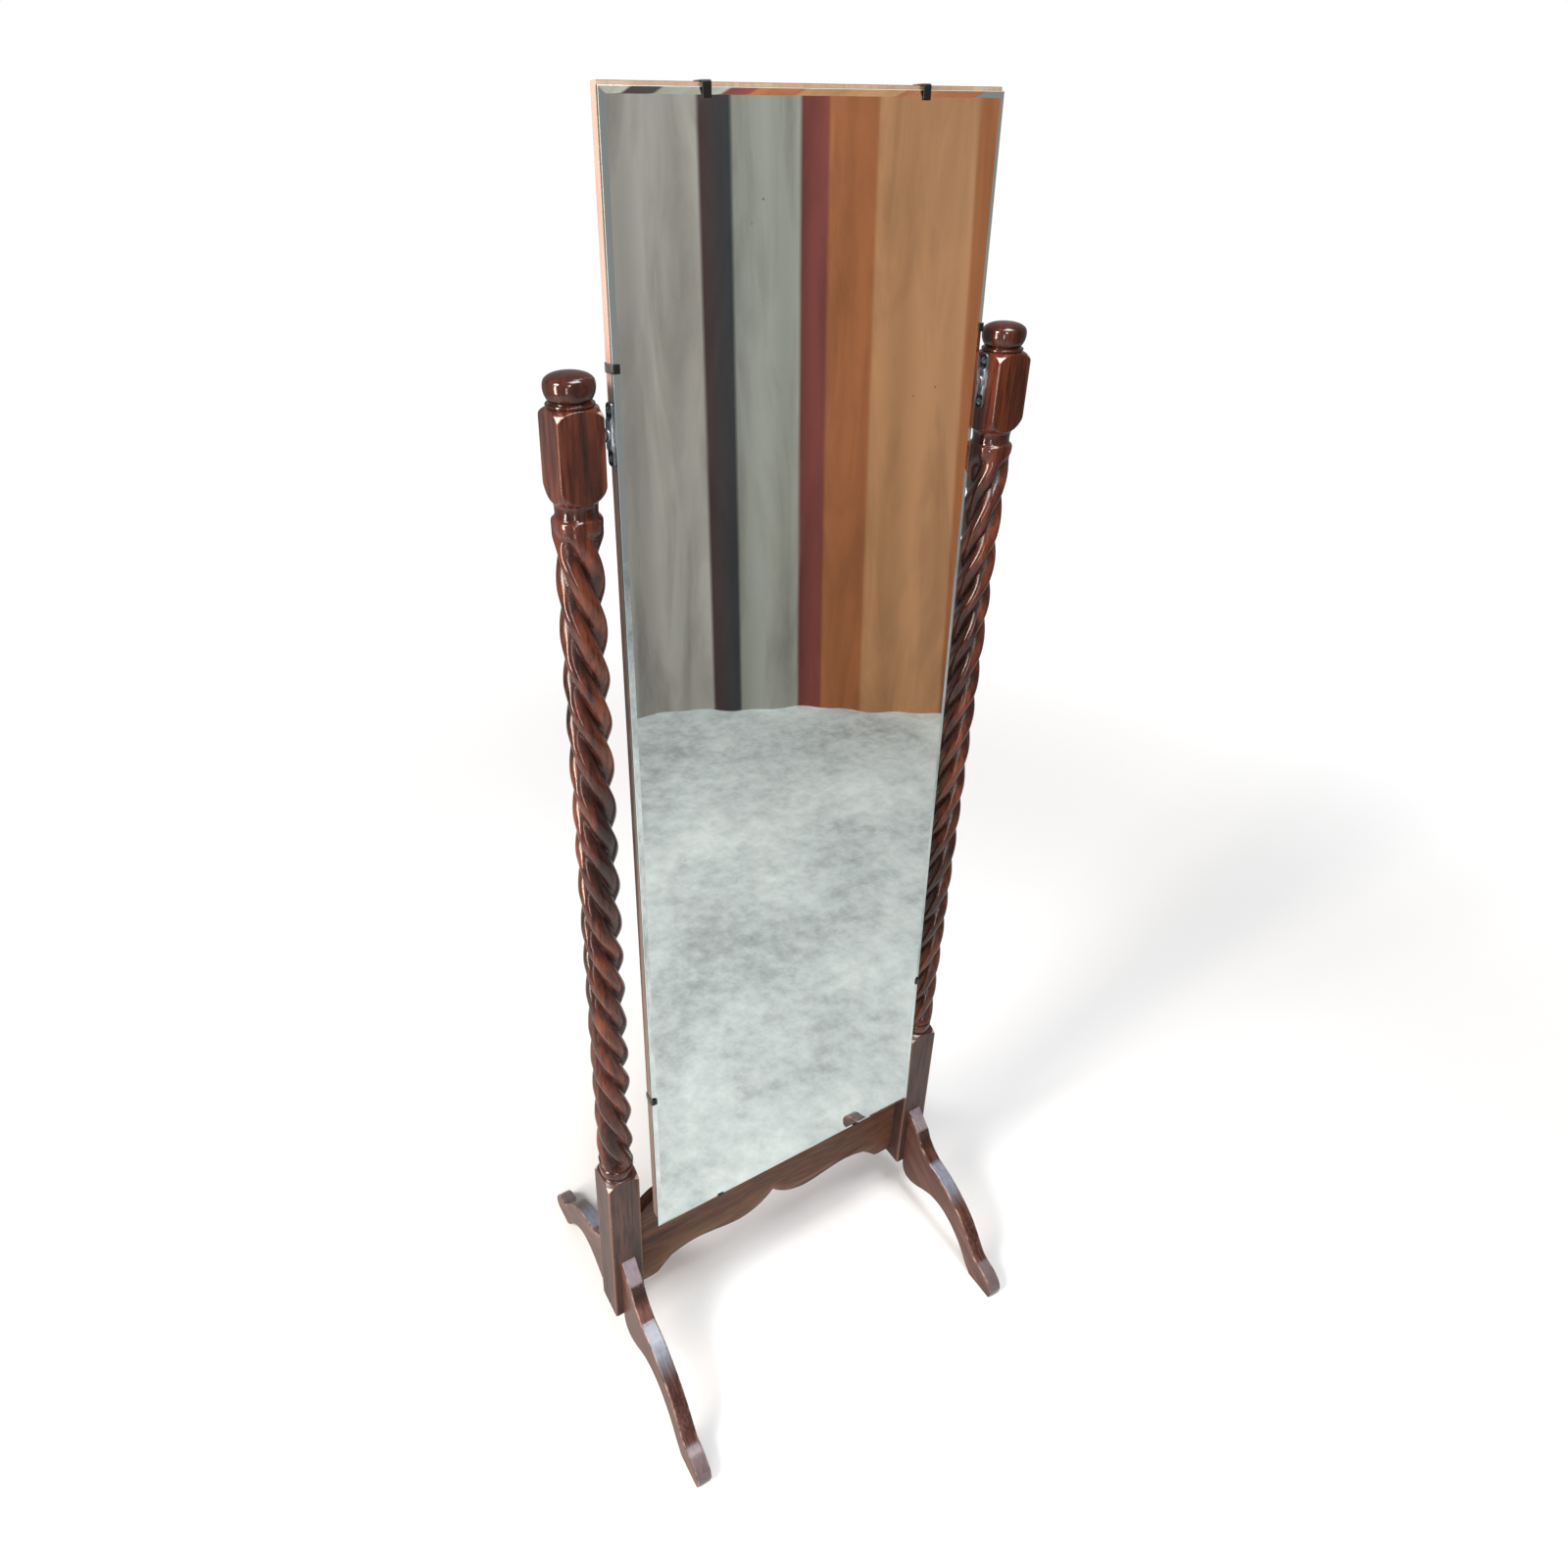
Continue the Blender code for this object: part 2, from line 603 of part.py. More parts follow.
def plate_holes(name, side, seat, toward):
    """The stud's bore and two countersunk screw holes through a plate."""
    bm = bmesh.new()
    bore = STUD_RADIUS + STUD_PLAY
    made = bmesh.ops.create_cone(bm, cap_ends=True, segments=48, radius1=bore,
                                 radius2=bore, depth=0.0300)
    turn_to_axis(bm, made["verts"], "X")
    bmesh.ops.translate(bm, vec=(side * seat, 0.0, PIVOT_HEIGHT), verts=made["verts"])
    way = side * toward
    for dz in (-PLATE_SCREW, PLATE_SCREW):
        z = PIVOT_HEIGHT + dz
        wide, narrow = 0.0037, 0.0018
        made = bmesh.ops.create_cone(
            bm, cap_ends=True, segments=12, radius1=narrow if way > 0 else wide,
            radius2=wide if way > 0 else narrow, depth=0.0022)
        turn_to_axis(bm, made["verts"], "X")
        x = side * (seat + toward * (PLATE_STOCK - 0.0009))
        bmesh.ops.translate(bm, vec=(x, 0.0, z), verts=made["verts"])
    both = from_bmesh(name + "_sinks", bm, cutters)
    rods = [((side * seat, 0.0, PIVOT_HEIGHT + dz), "X", 0.0018, 0.0100)
            for dz in (-PLATE_SCREW, PLATE_SCREW)]
    return boolean(both, rod_cutter(name + "_clear", rods), "UNION")


def countersunk_screw(name, side, seat, toward, dz):
    """A wood screw through a plate: flat head, then the shank."""
    profile = [
        (0.0, 0.0), (0.0033, 0.0), (0.0033, -0.0003), (0.0015, -0.0021),
        (0.0015, -0.0130), (0.0, -0.0150),
    ]
    obj = turned(name, profile, 12, parts, STEEL)
    obj.rotation_euler = (0.0, math.radians(90 * side * toward), 0.0)
    obj.location = (side * (seat + toward * (PLATE_STOCK + 0.0001)), 0.0, PIVOT_HEIGHT + dz)
    return obj


def swing_with_panel(obj):
    """Parent a piece built at the pivot to the panel, keeping its place."""
    obj.parent = hinge
    obj.matrix_parent_inverse = hinge_upright_inverse
    return obj


# pieces built at the pivot's place in the room are first moved to its origin
hinge_upright_inverse = Matrix.Translation((0.0, 0.0, -PIVOT_HEIGHT))


def fitting(hand, side):
    """The whole swing fitting of one side."""
    post_seat = POST_FACE - GAP
    board_seat = EDGE + GAP
    fitting_plate(hand + "_upright_plate", side, post_seat, UPRIGHT_BOSS_END, -1)
    plate = fitting_plate(hand + "_board_plate", side, board_seat, BOARD_BOSS_END, 1)
    swing_with_panel(plate)
    for mod in plate.modifiers:
        swing_with_panel(mod.object)
        for inner in mod.object.modifiers:
            swing_with_panel(inner.object)
    for dz, level in ((PLATE_SCREW, "high"), (-PLATE_SCREW, "low")):
        countersunk_screw("%s_upright_screw_%s" % (hand, level), side, post_seat, -1, dz)
        swing_with_panel(
            countersunk_screw("%s_board_screw_%s" % (hand, level), side, board_seat, 1, dz))
    swing_with_panel(stud(hand, side, board_seat, post_seat))
    swing_with_panel(washer(hand, side))


def stud(hand, side, board_seat, post_seat):
    """The pivot stud from the board's plate into the upright's plate."""
    start = board_seat + 0.0004
    end = post_seat - 0.0006
    bm = bmesh.new()
    made = bmesh.ops.create_cone(bm, cap_ends=True, segments=48, radius1=STUD_RADIUS,
                                 radius2=STUD_RADIUS, depth=end - start)
    turn_to_axis(bm, made["verts"], "X")
    obj = from_bmesh(hand + "_pivot_stud", bm, parts, STEEL)
    obj.location = (side * (start + end) / 2, 0.0, PIVOT_HEIGHT)
    return smooth(obj)


def washer(hand, side):
    """The friction washer between the bosses."""
    inner = STUD_RADIUS + GAP
    half = WASHER_THICKNESS / 2
    profile = [(inner, half), (BOSS_RADIUS, half), (BOSS_RADIUS, -half), (inner, -half),
               (inner, half)]
    obj = turned(hand + "_friction_washer", profile, 20, parts, FIBRE)
    obj.rotation_euler = (0.0, math.radians(90), 0.0)
    obj.location = (side * (UPRIGHT_BOSS_END - GAP - half), 0.0, PIVOT_HEIGHT)
    return obj


fitting("left", -1)
fitting("right", 1)
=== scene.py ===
import math

import bpy
import numpy as np
from mathutils import Matrix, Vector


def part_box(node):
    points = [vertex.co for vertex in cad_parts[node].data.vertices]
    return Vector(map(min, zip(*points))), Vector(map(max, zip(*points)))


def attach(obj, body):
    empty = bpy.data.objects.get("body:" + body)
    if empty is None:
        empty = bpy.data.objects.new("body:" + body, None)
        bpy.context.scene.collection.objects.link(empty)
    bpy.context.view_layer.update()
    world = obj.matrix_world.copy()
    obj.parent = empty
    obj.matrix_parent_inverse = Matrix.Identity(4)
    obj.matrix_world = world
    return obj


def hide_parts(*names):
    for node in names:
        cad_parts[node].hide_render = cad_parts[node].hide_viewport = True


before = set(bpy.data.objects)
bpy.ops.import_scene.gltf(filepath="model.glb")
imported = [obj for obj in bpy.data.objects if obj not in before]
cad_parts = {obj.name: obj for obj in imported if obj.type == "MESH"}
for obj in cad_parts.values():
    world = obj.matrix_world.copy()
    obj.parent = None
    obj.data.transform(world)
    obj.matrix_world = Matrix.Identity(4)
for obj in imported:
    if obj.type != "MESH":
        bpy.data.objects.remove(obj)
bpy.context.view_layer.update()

# ---- camera -------------------------------------------------------------
# The camera stands close to the mirror's left front, just above its top, and
# looks down across the glass.  The small shift keeps the object in frame.
lens = bpy.data.cameras.new("camera")
lens.sensor_width = 36.0
lens.lens = 24.03
lens.shift_x, lens.shift_y = 0.0499, -0.0678
camera = bpy.data.objects.new("camera", lens)
bpy.context.scene.collection.objects.link(camera)
camera.matrix_world = (
    Matrix.Translation((-0.5974, -0.8458, 1.5592))
    @ Matrix.Rotation(math.radians(-29.68), 4, "Z")
    @ Matrix.Rotation(math.radians(61.93), 4, "X"))
bpy.context.scene.camera = camera
bpy.context.scene.view_settings.view_transform = "Standard"


# ---- studio -------------------------------------------------------------
# A pale seamless floor, soft boxes to the left, above and in front, two upright
# strips of light that draw the shine along the turned wood, and a banded grey
# and brown cloth hung well in front for the glass to show.
def node(tree, kind, settings=None, **sockets):
    """Add one shader node; a socket takes a value or the socket that feeds it."""
    made = tree.nodes.new("ShaderNode" + kind)
    for key, value in (settings or {}).items():
        setattr(made, key, value)
    for key, value in sockets.items():
        socket = made.inputs[key.replace("_", " ")]
        if isinstance(value, bpy.types.NodeSocket):
            tree.links.new(value, socket)
        else:
            socket.default_value = value
    return made


def finish_material(name):
    """A new material with its node tree and its Principled shader."""
    mat = bpy.data.materials.new(name)
    mat.use_nodes = True
    return mat, mat.node_tree, mat.node_tree.nodes["Principled BSDF"]


def ramp(tree, factor, *stops):
    """A colour ramp over (place, colour) stops, its colours linear RGB."""
    made = node(tree, "ValToRGB", Fac=factor)
    band = made.color_ramp
    while len(band.elements) < len(stops):
        band.elements.new(1.0)
    for element, (place, colour) in zip(band.elements, stops):
        element.position = place
        element.color = (*colour, 1.0)
    return made.outputs["Color"]


def mixed(tree, factor, first, second, how="MIX"):
    """Two colours mixed by a factor, each a colour or a socket."""
    made = tree.nodes.new("ShaderNodeMix")
    made.data_type = "RGBA"
    made.blend_type = how
    for index, value in ((0, factor), (6, first), (7, second)):
        if isinstance(value, bpy.types.NodeSocket):
            tree.links.new(value, made.inputs[index])
        else:
            made.inputs[index].default_value = value if index == 0 else (*value, 1.0)
    return made.outputs[2]


def maths(tree, how, first, second=0.5, clamp=False):
    """One arithmetic step between two values or sockets."""
    made = node(tree, "Math", {"operation": how, "use_clamp": clamp})
    for index, value in enumerate((first, second)):
        if isinstance(value, bpy.types.NodeSocket):
            tree.links.new(value, made.inputs[index])
        else:
            made.inputs[index].default_value = value
    return made.outputs[0]


def noise(tree, where, scale, detail, rough=0.5, warp=0.0):
    """Cloudy noise between 0 and 1 over a place, with that many octaves of detail."""
    return node(tree, "TexNoise", Vector=where, Scale=scale, Detail=detail, Roughness=rough,
                Distortion=warp).outputs["Fac"]


def sheet_of(name, grid):
    """An open surface from a grid of points, one quad between each four."""
    rows, across = grid.shape[:2]
    index = np.arange(rows * across).reshape(rows, across)
    corners = (index[:-1, :-1], index[:-1, 1:], index[1:, 1:], index[1:, :-1])
    quads = np.stack(corners, axis=-1).reshape(-1, 4)
    mesh = bpy.data.meshes.new(name)
    mesh.from_pydata(grid.reshape(-1, 3).tolist(), [], quads.tolist())
    mesh.shade_smooth()
    made = bpy.data.objects.new(name, mesh)
    bpy.context.scene.collection.objects.link(made)
    return made


FLOOR_HALF = 3.6
CLOTH_RADIUS, CLOTH_HIGH = 1.97, 3.6
CLOTH_TURN = (-75.0, -38.0)   # degrees about the mirror, from its right
# The second colour is the near black of painted shade, for a dark gap in the cloth's bands.
GREY_PAINT, GAP_SHADE_PAINT = (0.34, 0.315, 0.29), (0.045, 0.02, 0.02)


def studio_floor():
    """A flat square sheet: plain white when looked at, its rim lit up so that it runs out
    into the white, and cloudy grey stone for bounced light and for the glass."""
    run = np.linspace(-FLOOR_HALF, FLOOR_HALF, 49)
    flat = np.stack([*np.meshgrid(run, run), np.zeros((49, 49))], axis=-1)
    floor = sheet_of("floor", flat)
    mat, tree, shader = finish_material("pale_floor")
    where = node(tree, "TexCoord").outputs["Object"]
    looked_at = node(tree, "LightPath").outputs["Is Camera Ray"]
    cloud = noise(tree, where, 2.3, 6.0, rough=0.6)
    fine = noise(tree, where, 26.0, 6.0, rough=0.7)
    worn = maths(tree, "ADD", maths(tree, "MULTIPLY", cloud, 0.62), maths(tree, "MULTIPLY", fine, 0.38))
    stone = ramp(tree, worn, (0.38, (0.30, 0.32, 0.32)), (0.50, (0.48, 0.51, 0.51)),
                 (0.62, (0.64, 0.67, 0.66)))
    tone = mixed(tree, looked_at, stone, (0.88, 0.88, 0.882))
    tree.links.new(tone, shader.inputs["Base Color"])
    shader.inputs["Roughness"].default_value = 0.75
    shader.inputs["Specular IOR Level"].default_value = 0.2
    out = node(tree, "VectorMath", {"operation": "LENGTH"}, Vector=where).outputs["Value"]
    rim = node(tree, "MapRange", {"interpolation_type": "SMOOTHSTEP"}, Value=out, From_Min=1.1,
               From_Max=3.3, To_Max=0.70).outputs["Result"]
    glow = maths(tree, "MULTIPLY", rim, looked_at)
    shader.inputs["Emission Color"].default_value = (1.0, 1.0, 1.0, 1.0)
    tree.links.new(glow, shader.inputs["Emission Strength"])
    floor.data.materials.append(mat)


def hung_cloth():
    """Cloth on a circle arc about the mirror, its radius rippled by two sines for the folds.
    It is dyed in broad upright bands, grey, a near-black band of painted shade standing for a dark gap,
    grey and then orange brown."""
    span = np.linspace(0.0, 1.0, 281)[None, :]
    turn = np.radians(CLOTH_TURN[0] + (CLOTH_TURN[1] - CLOTH_TURN[0]) * span)
    high = np.linspace(0.0, CLOTH_HIGH, 13)[:, None]
    radius = CLOTH_RADIUS + 0.012 * np.sin(31 * turn) + 0.006 * np.sin(83 * turn + 1.0) * (1 - high / 5)
    spread = np.stack([radius * np.cos(turn), radius * np.sin(turn), high + 0 * turn], axis=-1)
    cloth = sheet_of("hung_cloth", spread)
    band = cloth.data.attributes.new("band", "FLOAT", "POINT")
    band.data.foreach_set("value", (span + 0 * high).astype(np.float32).ravel())
    mat, tree, shader = finish_material("hung_cloth")
    where = node(tree, "TexCoord").outputs["Object"]
    drawn = node(tree, "Mapping", Vector=where, Scale=(1.0, 1.0, 0.16)).outputs["Vector"]
    blotch = noise(tree, drawn, 9.0, 8.0, rough=0.6, warp=0.8)
    place = node(tree, "Attribute", {"attribute_name": "band"}).outputs["Fac"]
    # From 0.30 to 0.37 the band is near black: painted shade standing for a dark gap.
    tone = ramp(tree, place, (0.297, GREY_PAINT), (0.303, GAP_SHADE_PAINT),
                (0.365, (0.030, 0.035, 0.04)), (0.371, (0.27, 0.27, 0.24)), (0.505, (0.35, 0.35, 0.31)),
                (0.511, (0.15, 0.03, 0.028)), (0.562, (0.18, 0.04, 0.03)), (0.568, (0.34, 0.115, 0.040)),
                (0.659, (0.30, 0.095, 0.030)), (0.665, (0.40, 0.19, 0.085)), (0.851, (0.46, 0.23, 0.11)),
                (0.857, (0.31, 0.105, 0.035)), (1.0, (0.30, 0.10, 0.035)))
    grainy = ramp(tree, blotch, (0.32, (0.55, 0.52, 0.50)), (0.56, (1.0, 1.0, 1.0)))
    tree.links.new(mixed(tree, 0.7, tone, grainy, "MULTIPLY"), shader.inputs["Base Color"])
    shader.inputs["Roughness"].default_value = 0.9
    cloth.data.materials.append(mat)


def soft_light(name, place, aim, size, power, colour=(1.0, 1.0, 1.0)):
    """A square soft box at a place, turned to face a point."""
    data = bpy.data.lights.new(name, "AREA")
    data.shape = "RECTANGLE"
    data.size, data.size_y = size
    data.energy = power
    data.color = colour
    lamp = bpy.data.objects.new(name, data)
    bpy.context.scene.collection.objects.link(lamp)
    lamp.location = place
    away = Matrix.Translation(place).translation - Matrix.Translation(aim).translation
    lamp.rotation_euler = away.to_track_quat("Z", "Y").to_euler()


studio_floor()
hung_cloth()
soft_light("left_box", (-2.3, -0.2, 2.6), (0.0, 0.0, 0.9), (0.75, 0.75), 74.0, (1.0, 0.97, 0.94))
soft_light("top_box", (0.3, -0.75, 3.7), (0.0, 0.0, 0.6), (1.4, 1.1), 78.0, (0.96, 0.985, 1.0))
soft_light("front_box", (-0.95, -2.0, 2.35), (0.0, 0.0, 0.9), (0.28, 0.42), 12.0)
soft_light("left_strip", (-2.3, -0.25, 1.10), (0.0, 0.0, 0.9), (0.26, 1.60), 44.0, (1.0, 0.88, 0.76))
soft_light("front_strip", (-1.5, -1.9, 1.00), (0.0, 0.0, 0.9), (0.12, 1.40), 9.0)
sky = bpy.data.worlds.new("studio")
sky.use_nodes = True
room = node(sky.node_tree, "Background", Color=(0.93, 0.93, 0.93, 1.0), Strength=0.32)
white = sky.node_tree.nodes["Background"]
white.inputs["Color"].default_value = (1.0, 1.0, 1.0, 1.0)
seen = node(sky.node_tree, "LightPath").outputs["Is Camera Ray"]
both = node(sky.node_tree, "MixShader", Fac=seen)
sky.node_tree.links.new(room.outputs[0], both.inputs[1])
sky.node_tree.links.new(white.outputs[0], both.inputs[2])
sky.node_tree.links.new(both.outputs[0], sky.node_tree.nodes["World Output"].inputs["Surface"])
bpy.context.scene.world = sky


# ---- uprights -----------------------------------------------------------
# Each upright is one length of square hardwood, turned between its two square
# blocks, cut with a four-start barley twist by hand, stained red-brown and
# french polished.  The base block is duller than the turned work above it.
def fair_line(points, parts):
    """A smooth line through points: each stretch is a cubic whose end slopes follow the
    chord between its neighbours (Catmull-Rom), cut into the given number of parts."""
    p = np.asarray(points, float)
    p = np.vstack([2 * p[0] - p[1], p, 2 * p[-1] - p[-2]])
    t = np.linspace(0.0, 1.0, parts, endpoint=False)[:, None, None]
    a, b, c, d = p[:-3], p[1:-2], p[2:-1], p[3:]
    cubic = b + 0.5 * t * (c - a + t * (2 * a - 5 * b + 4 * c - d + t * (3 * (b - c) + d - a)))
    return np.vstack([cubic.transpose(1, 0, 2).reshape(-1, p.shape[1]), p[-2]])


def skin(name, rings, marks=None, sharp=40.0):
    """A closed mesh from rings of points, rings[i, j] being point j of ring i.  Each ring
    meets itself, the two end rings are closed flat, and the faces are turned outwards by
    the sign of the enclosed volume.  marks are values kept on the points by name."""
    count, around = rings.shape[:2]
    index = np.arange(count * around).reshape(count, around)
    side = np.roll(index, -1, axis=1)
    quads = np.stack([index[:-1], side[:-1], side[1:], index[1:]], axis=-1).reshape(-1, 4)
    caps = [index[0][::-1], index[-1]]
    points = rings.reshape(-1, 3)
    volume = 0.0
    fans = [np.stack([np.full(around - 2, cap[0]), cap[1:-1], cap[2:]], axis=-1) for cap in caps]
    for face in (quads[:, [0, 1, 2]], quads[:, [0, 2, 3]], *fans):
        p, q, r = (points[face[:, k]] for k in range(3))
        volume += float((p * np.cross(q, r)).sum())
    if volume < 0:
        quads = quads[:, ::-1]
        caps = [cap[::-1] for cap in caps]
    mesh = bpy.data.meshes.new(name)
    mesh.from_pydata(points.tolist(), [], quads.tolist() + [cap.tolist() for cap in caps])
    for key, value in (marks or {}).items():
        if value.ndim == 3:
            spot = mesh.attributes.new(key, "FLOAT_VECTOR", "POINT")
            spot.data.foreach_set("vector", value.astype(np.float32).ravel())
        else:
            spot = mesh.attributes.new(key, "FLOAT", "POINT")
            spot.data.foreach_set("value", value.astype(np.float32).ravel())
    mesh.shade_smooth()
    mesh.set_sharp_from_angle(angle=math.radians(sharp))
    made = bpy.data.objects.new(name, mesh)
    bpy.context.scene.collection.objects.link(made)
    return made


def step_up(value, low, high):
    """0 below low, 1 above high, and an even S-shaped rise between them."""
    t = np.clip((value - low) / (high - low), 0.0, 1.0)
    return t * t * (3 - 2 * t)


def softer_least(first, second, reach):
    """The smaller of two values, rounded off where they come within reach of each other."""
    near = np.clip(1 - np.abs(first - second) / reach, 0.0, 1.0)
    return np.minimum(first, second) - near * near * reach / 4


def square_reach(turn, half, rounding):
    """Distance from the middle to the edge of a square with rounded corners, by direction:
    half over the larger cosine on a flat, and the corner circle's far side past it."""
    c, s = np.abs(np.cos(turn)), np.abs(np.sin(turn))
    flat = half / np.maximum(c, s)
    centre = half - rounding
    along = centre * (c + s)
    corner = along + np.sqrt(np.maximum(along ** 2 - 2 * centre ** 2 + rounding ** 2, 0.0))
    on_corner = np.minimum(c, s) / np.maximum(c, s) > centre / half
    return np.where(on_corner, corner, flat)


POST_RINGS = 112
TWIST_LEAD = 0.206
TWIST_STARTS = 4
GROOVE_DEPTH = 0.0083
RIDGE = 0.0231               # radius over the twist's ridges
PHASE = {-1: 0.50, 1: 0.0}   # turn of the twist on its axis, by hand
BASE_BLOCK = 0.274           # height of the square base block


def turning_line(top, block_top, foot):
    """(radius, height) down the lathe work, the same in every direction."""
    head = np.vstack([
        fair_line([(0.0006, 0.0), (0.0060, 0.0003), (0.0120, 0.0011), (0.0176, 0.0030),
                   (0.0214, 0.0058), (0.0229, 0.0092), (0.0232, 0.0132), (0.0225, 0.0178),
                   (0.0207, 0.0221), (0.0184, 0.0253)], 6),
        fair_line([(0.0191, 0.0261), (0.0214, 0.0263), (0.0220, 0.0274), (0.0217, 0.0286),
                   (0.0206, 0.0290)], 4),
        fair_line([(0.0205, 0.0293), (0.0214, 0.0299), (0.0236, 0.0310), (0.0266, 0.0328),
                   (0.0292, 0.0352), (0.0312, 0.0385), (0.0330, 0.0430)], 5),
        fair_line([(0.0330, 0.0480), (0.0330, 0.0880)], 12),
        fair_line([(0.0330, 0.0905), (0.0322, 0.0950), (0.0303, 0.1020), (0.0268, 0.1085),
                   (0.0240, 0.1120), (0.0220, 0.1138), (0.0210, 0.1150)], 5),
        fair_line([(0.0204, 0.1180), (0.0201, 0.1225), (0.0203, 0.1262), (0.0211, 0.1284)], 4),
        fair_line([(0.0224, 0.1292), (0.0237, 0.1306), (0.0242, 0.1330), (0.0241, 0.1362)], 4),
    ])
    foot_line = np.vstack([
        fair_line([(0.0219, 0.0215), (0.0208, 0.0196), (0.0196, 0.0187)], 3),
        fair_line([(0.0200, 0.0178), (0.0215, 0.0162), (0.0221, 0.0120), (0.0216, 0.0062),
                   (0.0204, 0.0030)], 4),
        fair_line([(0.0198, 0.0018), (0.0204, 0.0006), (0.0230, -0.0008), (0.0262, -0.0030),
                   (0.0292, -0.0062), (0.0312, -0.0092), (0.0330, -0.0130)], 4),
    ])
    twist_top, twist_foot = top - 0.1380, block_top + 0.0230
    rows = np.linspace(twist_top, twist_foot, 540)
    swell = RIDGE + 0.0009 * step_up(rows, twist_top - 0.05, twist_top)
    twist = np.stack([swell, rows], axis=-1)
    block_rows = np.linspace(block_top - 0.0170, foot + 0.0012, 26)
    block = np.stack([np.full(block_rows.shape, 0.0330), block_rows], axis=-1)
    end = np.array([(0.0322, foot + 0.0004), (0.0300, foot)])
    head[:, 1] = top - head[:, 1]
    foot_line[:, 1] += block_top
    return np.vstack([head, twist, foot_line, block, end])


def upright(name, hand):
    """Rings down the upright.  The radius is the lighter cut of the lathe line and the
    square stock, less a groove that swings with four times the angle and turns with
    height; the rings turn with it, so that points run along the grooves."""
    low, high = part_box(name)
    axis = (low + high) / 2
    half = (high.x - low.x) / 2
    block_top = low.z + BASE_BLOCK
    line = turning_line(high.z, block_top, low.z)
    radius, height = line[:, :1], line[:, 1:]
    start, stop = block_top + 0.010, high.z - 0.1345
    climb = np.clip(height, start, stop) - start
    turned = hand * 2 * np.pi * climb / TWIST_LEAD
    quarter = np.pi / 2
    full = hand * 2 * np.pi * (stop - start) / TWIST_LEAD
    squared = np.round(full / quarter) * quarter
    offset = turned + (squared - full) * step_up(height, high.z - 0.1300, high.z - 0.1160)
    even = np.arange(POST_RINGS)[None, :] * 2 * np.pi / POST_RINGS
    turn = even + 0.17 * np.sin(4 * even) + offset
    wander = 0.05 * np.sin(37 * height + hand) + 0.03 * np.sin(91 * height + 2.0)
    swing = np.abs(np.cos(TWIST_STARTS / 2 * (turn - turned + wander + PHASE[hand]))) ** 1.05
    depth = step_up(height, block_top + 0.0200, block_top + 0.0300)
    depth = depth * step_up(-height, -high.z + 0.1370, -high.z + 0.1560)
    cut = GROOVE_DEPTH * (1 + 0.07 * np.sin(23 * height + 3 * hand))
    groove = (1 - swing) * depth
    stock = square_reach(turn, half, 0.0013)
    reach = softer_least(radius + 0 * turn, stock, 0.0007) - cut * groove
    spread = np.stack([axis.x + reach * np.cos(turn), axis.y + reach * np.sin(turn),
                       height + 0 * turn], axis=-1)
    # The corner facets left where the shoulders are turned: pale from wear and from a painted highlight.
    facet = step_up(stock - radius, -0.0001, 0.0005) * step_up(radius, 0.0262, 0.0276)
    base = step_up(-height, -block_top - 0.002, -block_top + 0.004)
    arris = step_up(reach, 0.0290, 0.0304) * (0.15 + 0.85 * base)
    upper = 1 - step_up(high.z - height, 0.050, 0.070)
    finial = 1 - step_up(high.z - height, 0.0288, 0.0302)
    # Painted shade: the turned hollows, where the lathe line runs in, are marked to be darkened.
    painted_hollow_shade = 0.8 * step_up(-radius, -0.0215, -0.0204)
    # The groove mark carries painted shade, near black, in the twist's grooves and the turned hollows,
    # and also the finial's own dark stain.
    marks = {"worn": facet * np.maximum(upper, base), "arris": arris, "base": base + 0 * turn,
             "groove": np.maximum(np.maximum(groove, painted_hollow_shade), 0.80 * finial),
             "grain": spread, "deep": groove}
    made = skin(name + "_turned", spread, marks)
    made.data.materials.append(polished_wood)
    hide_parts(name)
    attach(made, "stand")


def mark(tree, name):
    """A value kept on the points of the mesh."""
    return node(tree, "Attribute", {"attribute_name": name}).outputs


def wood_streaks(tree, stretch, scale, offset=0.0):
    """Grain: noise over the wood's own coordinates, drawn out along the third of them."""
    where = mark(tree, "grain")["Vector"]
    return node(tree, "Mapping", Vector=where, Location=(offset, offset, offset),
                Scale=(scale, scale, scale / stretch)).outputs["Vector"]


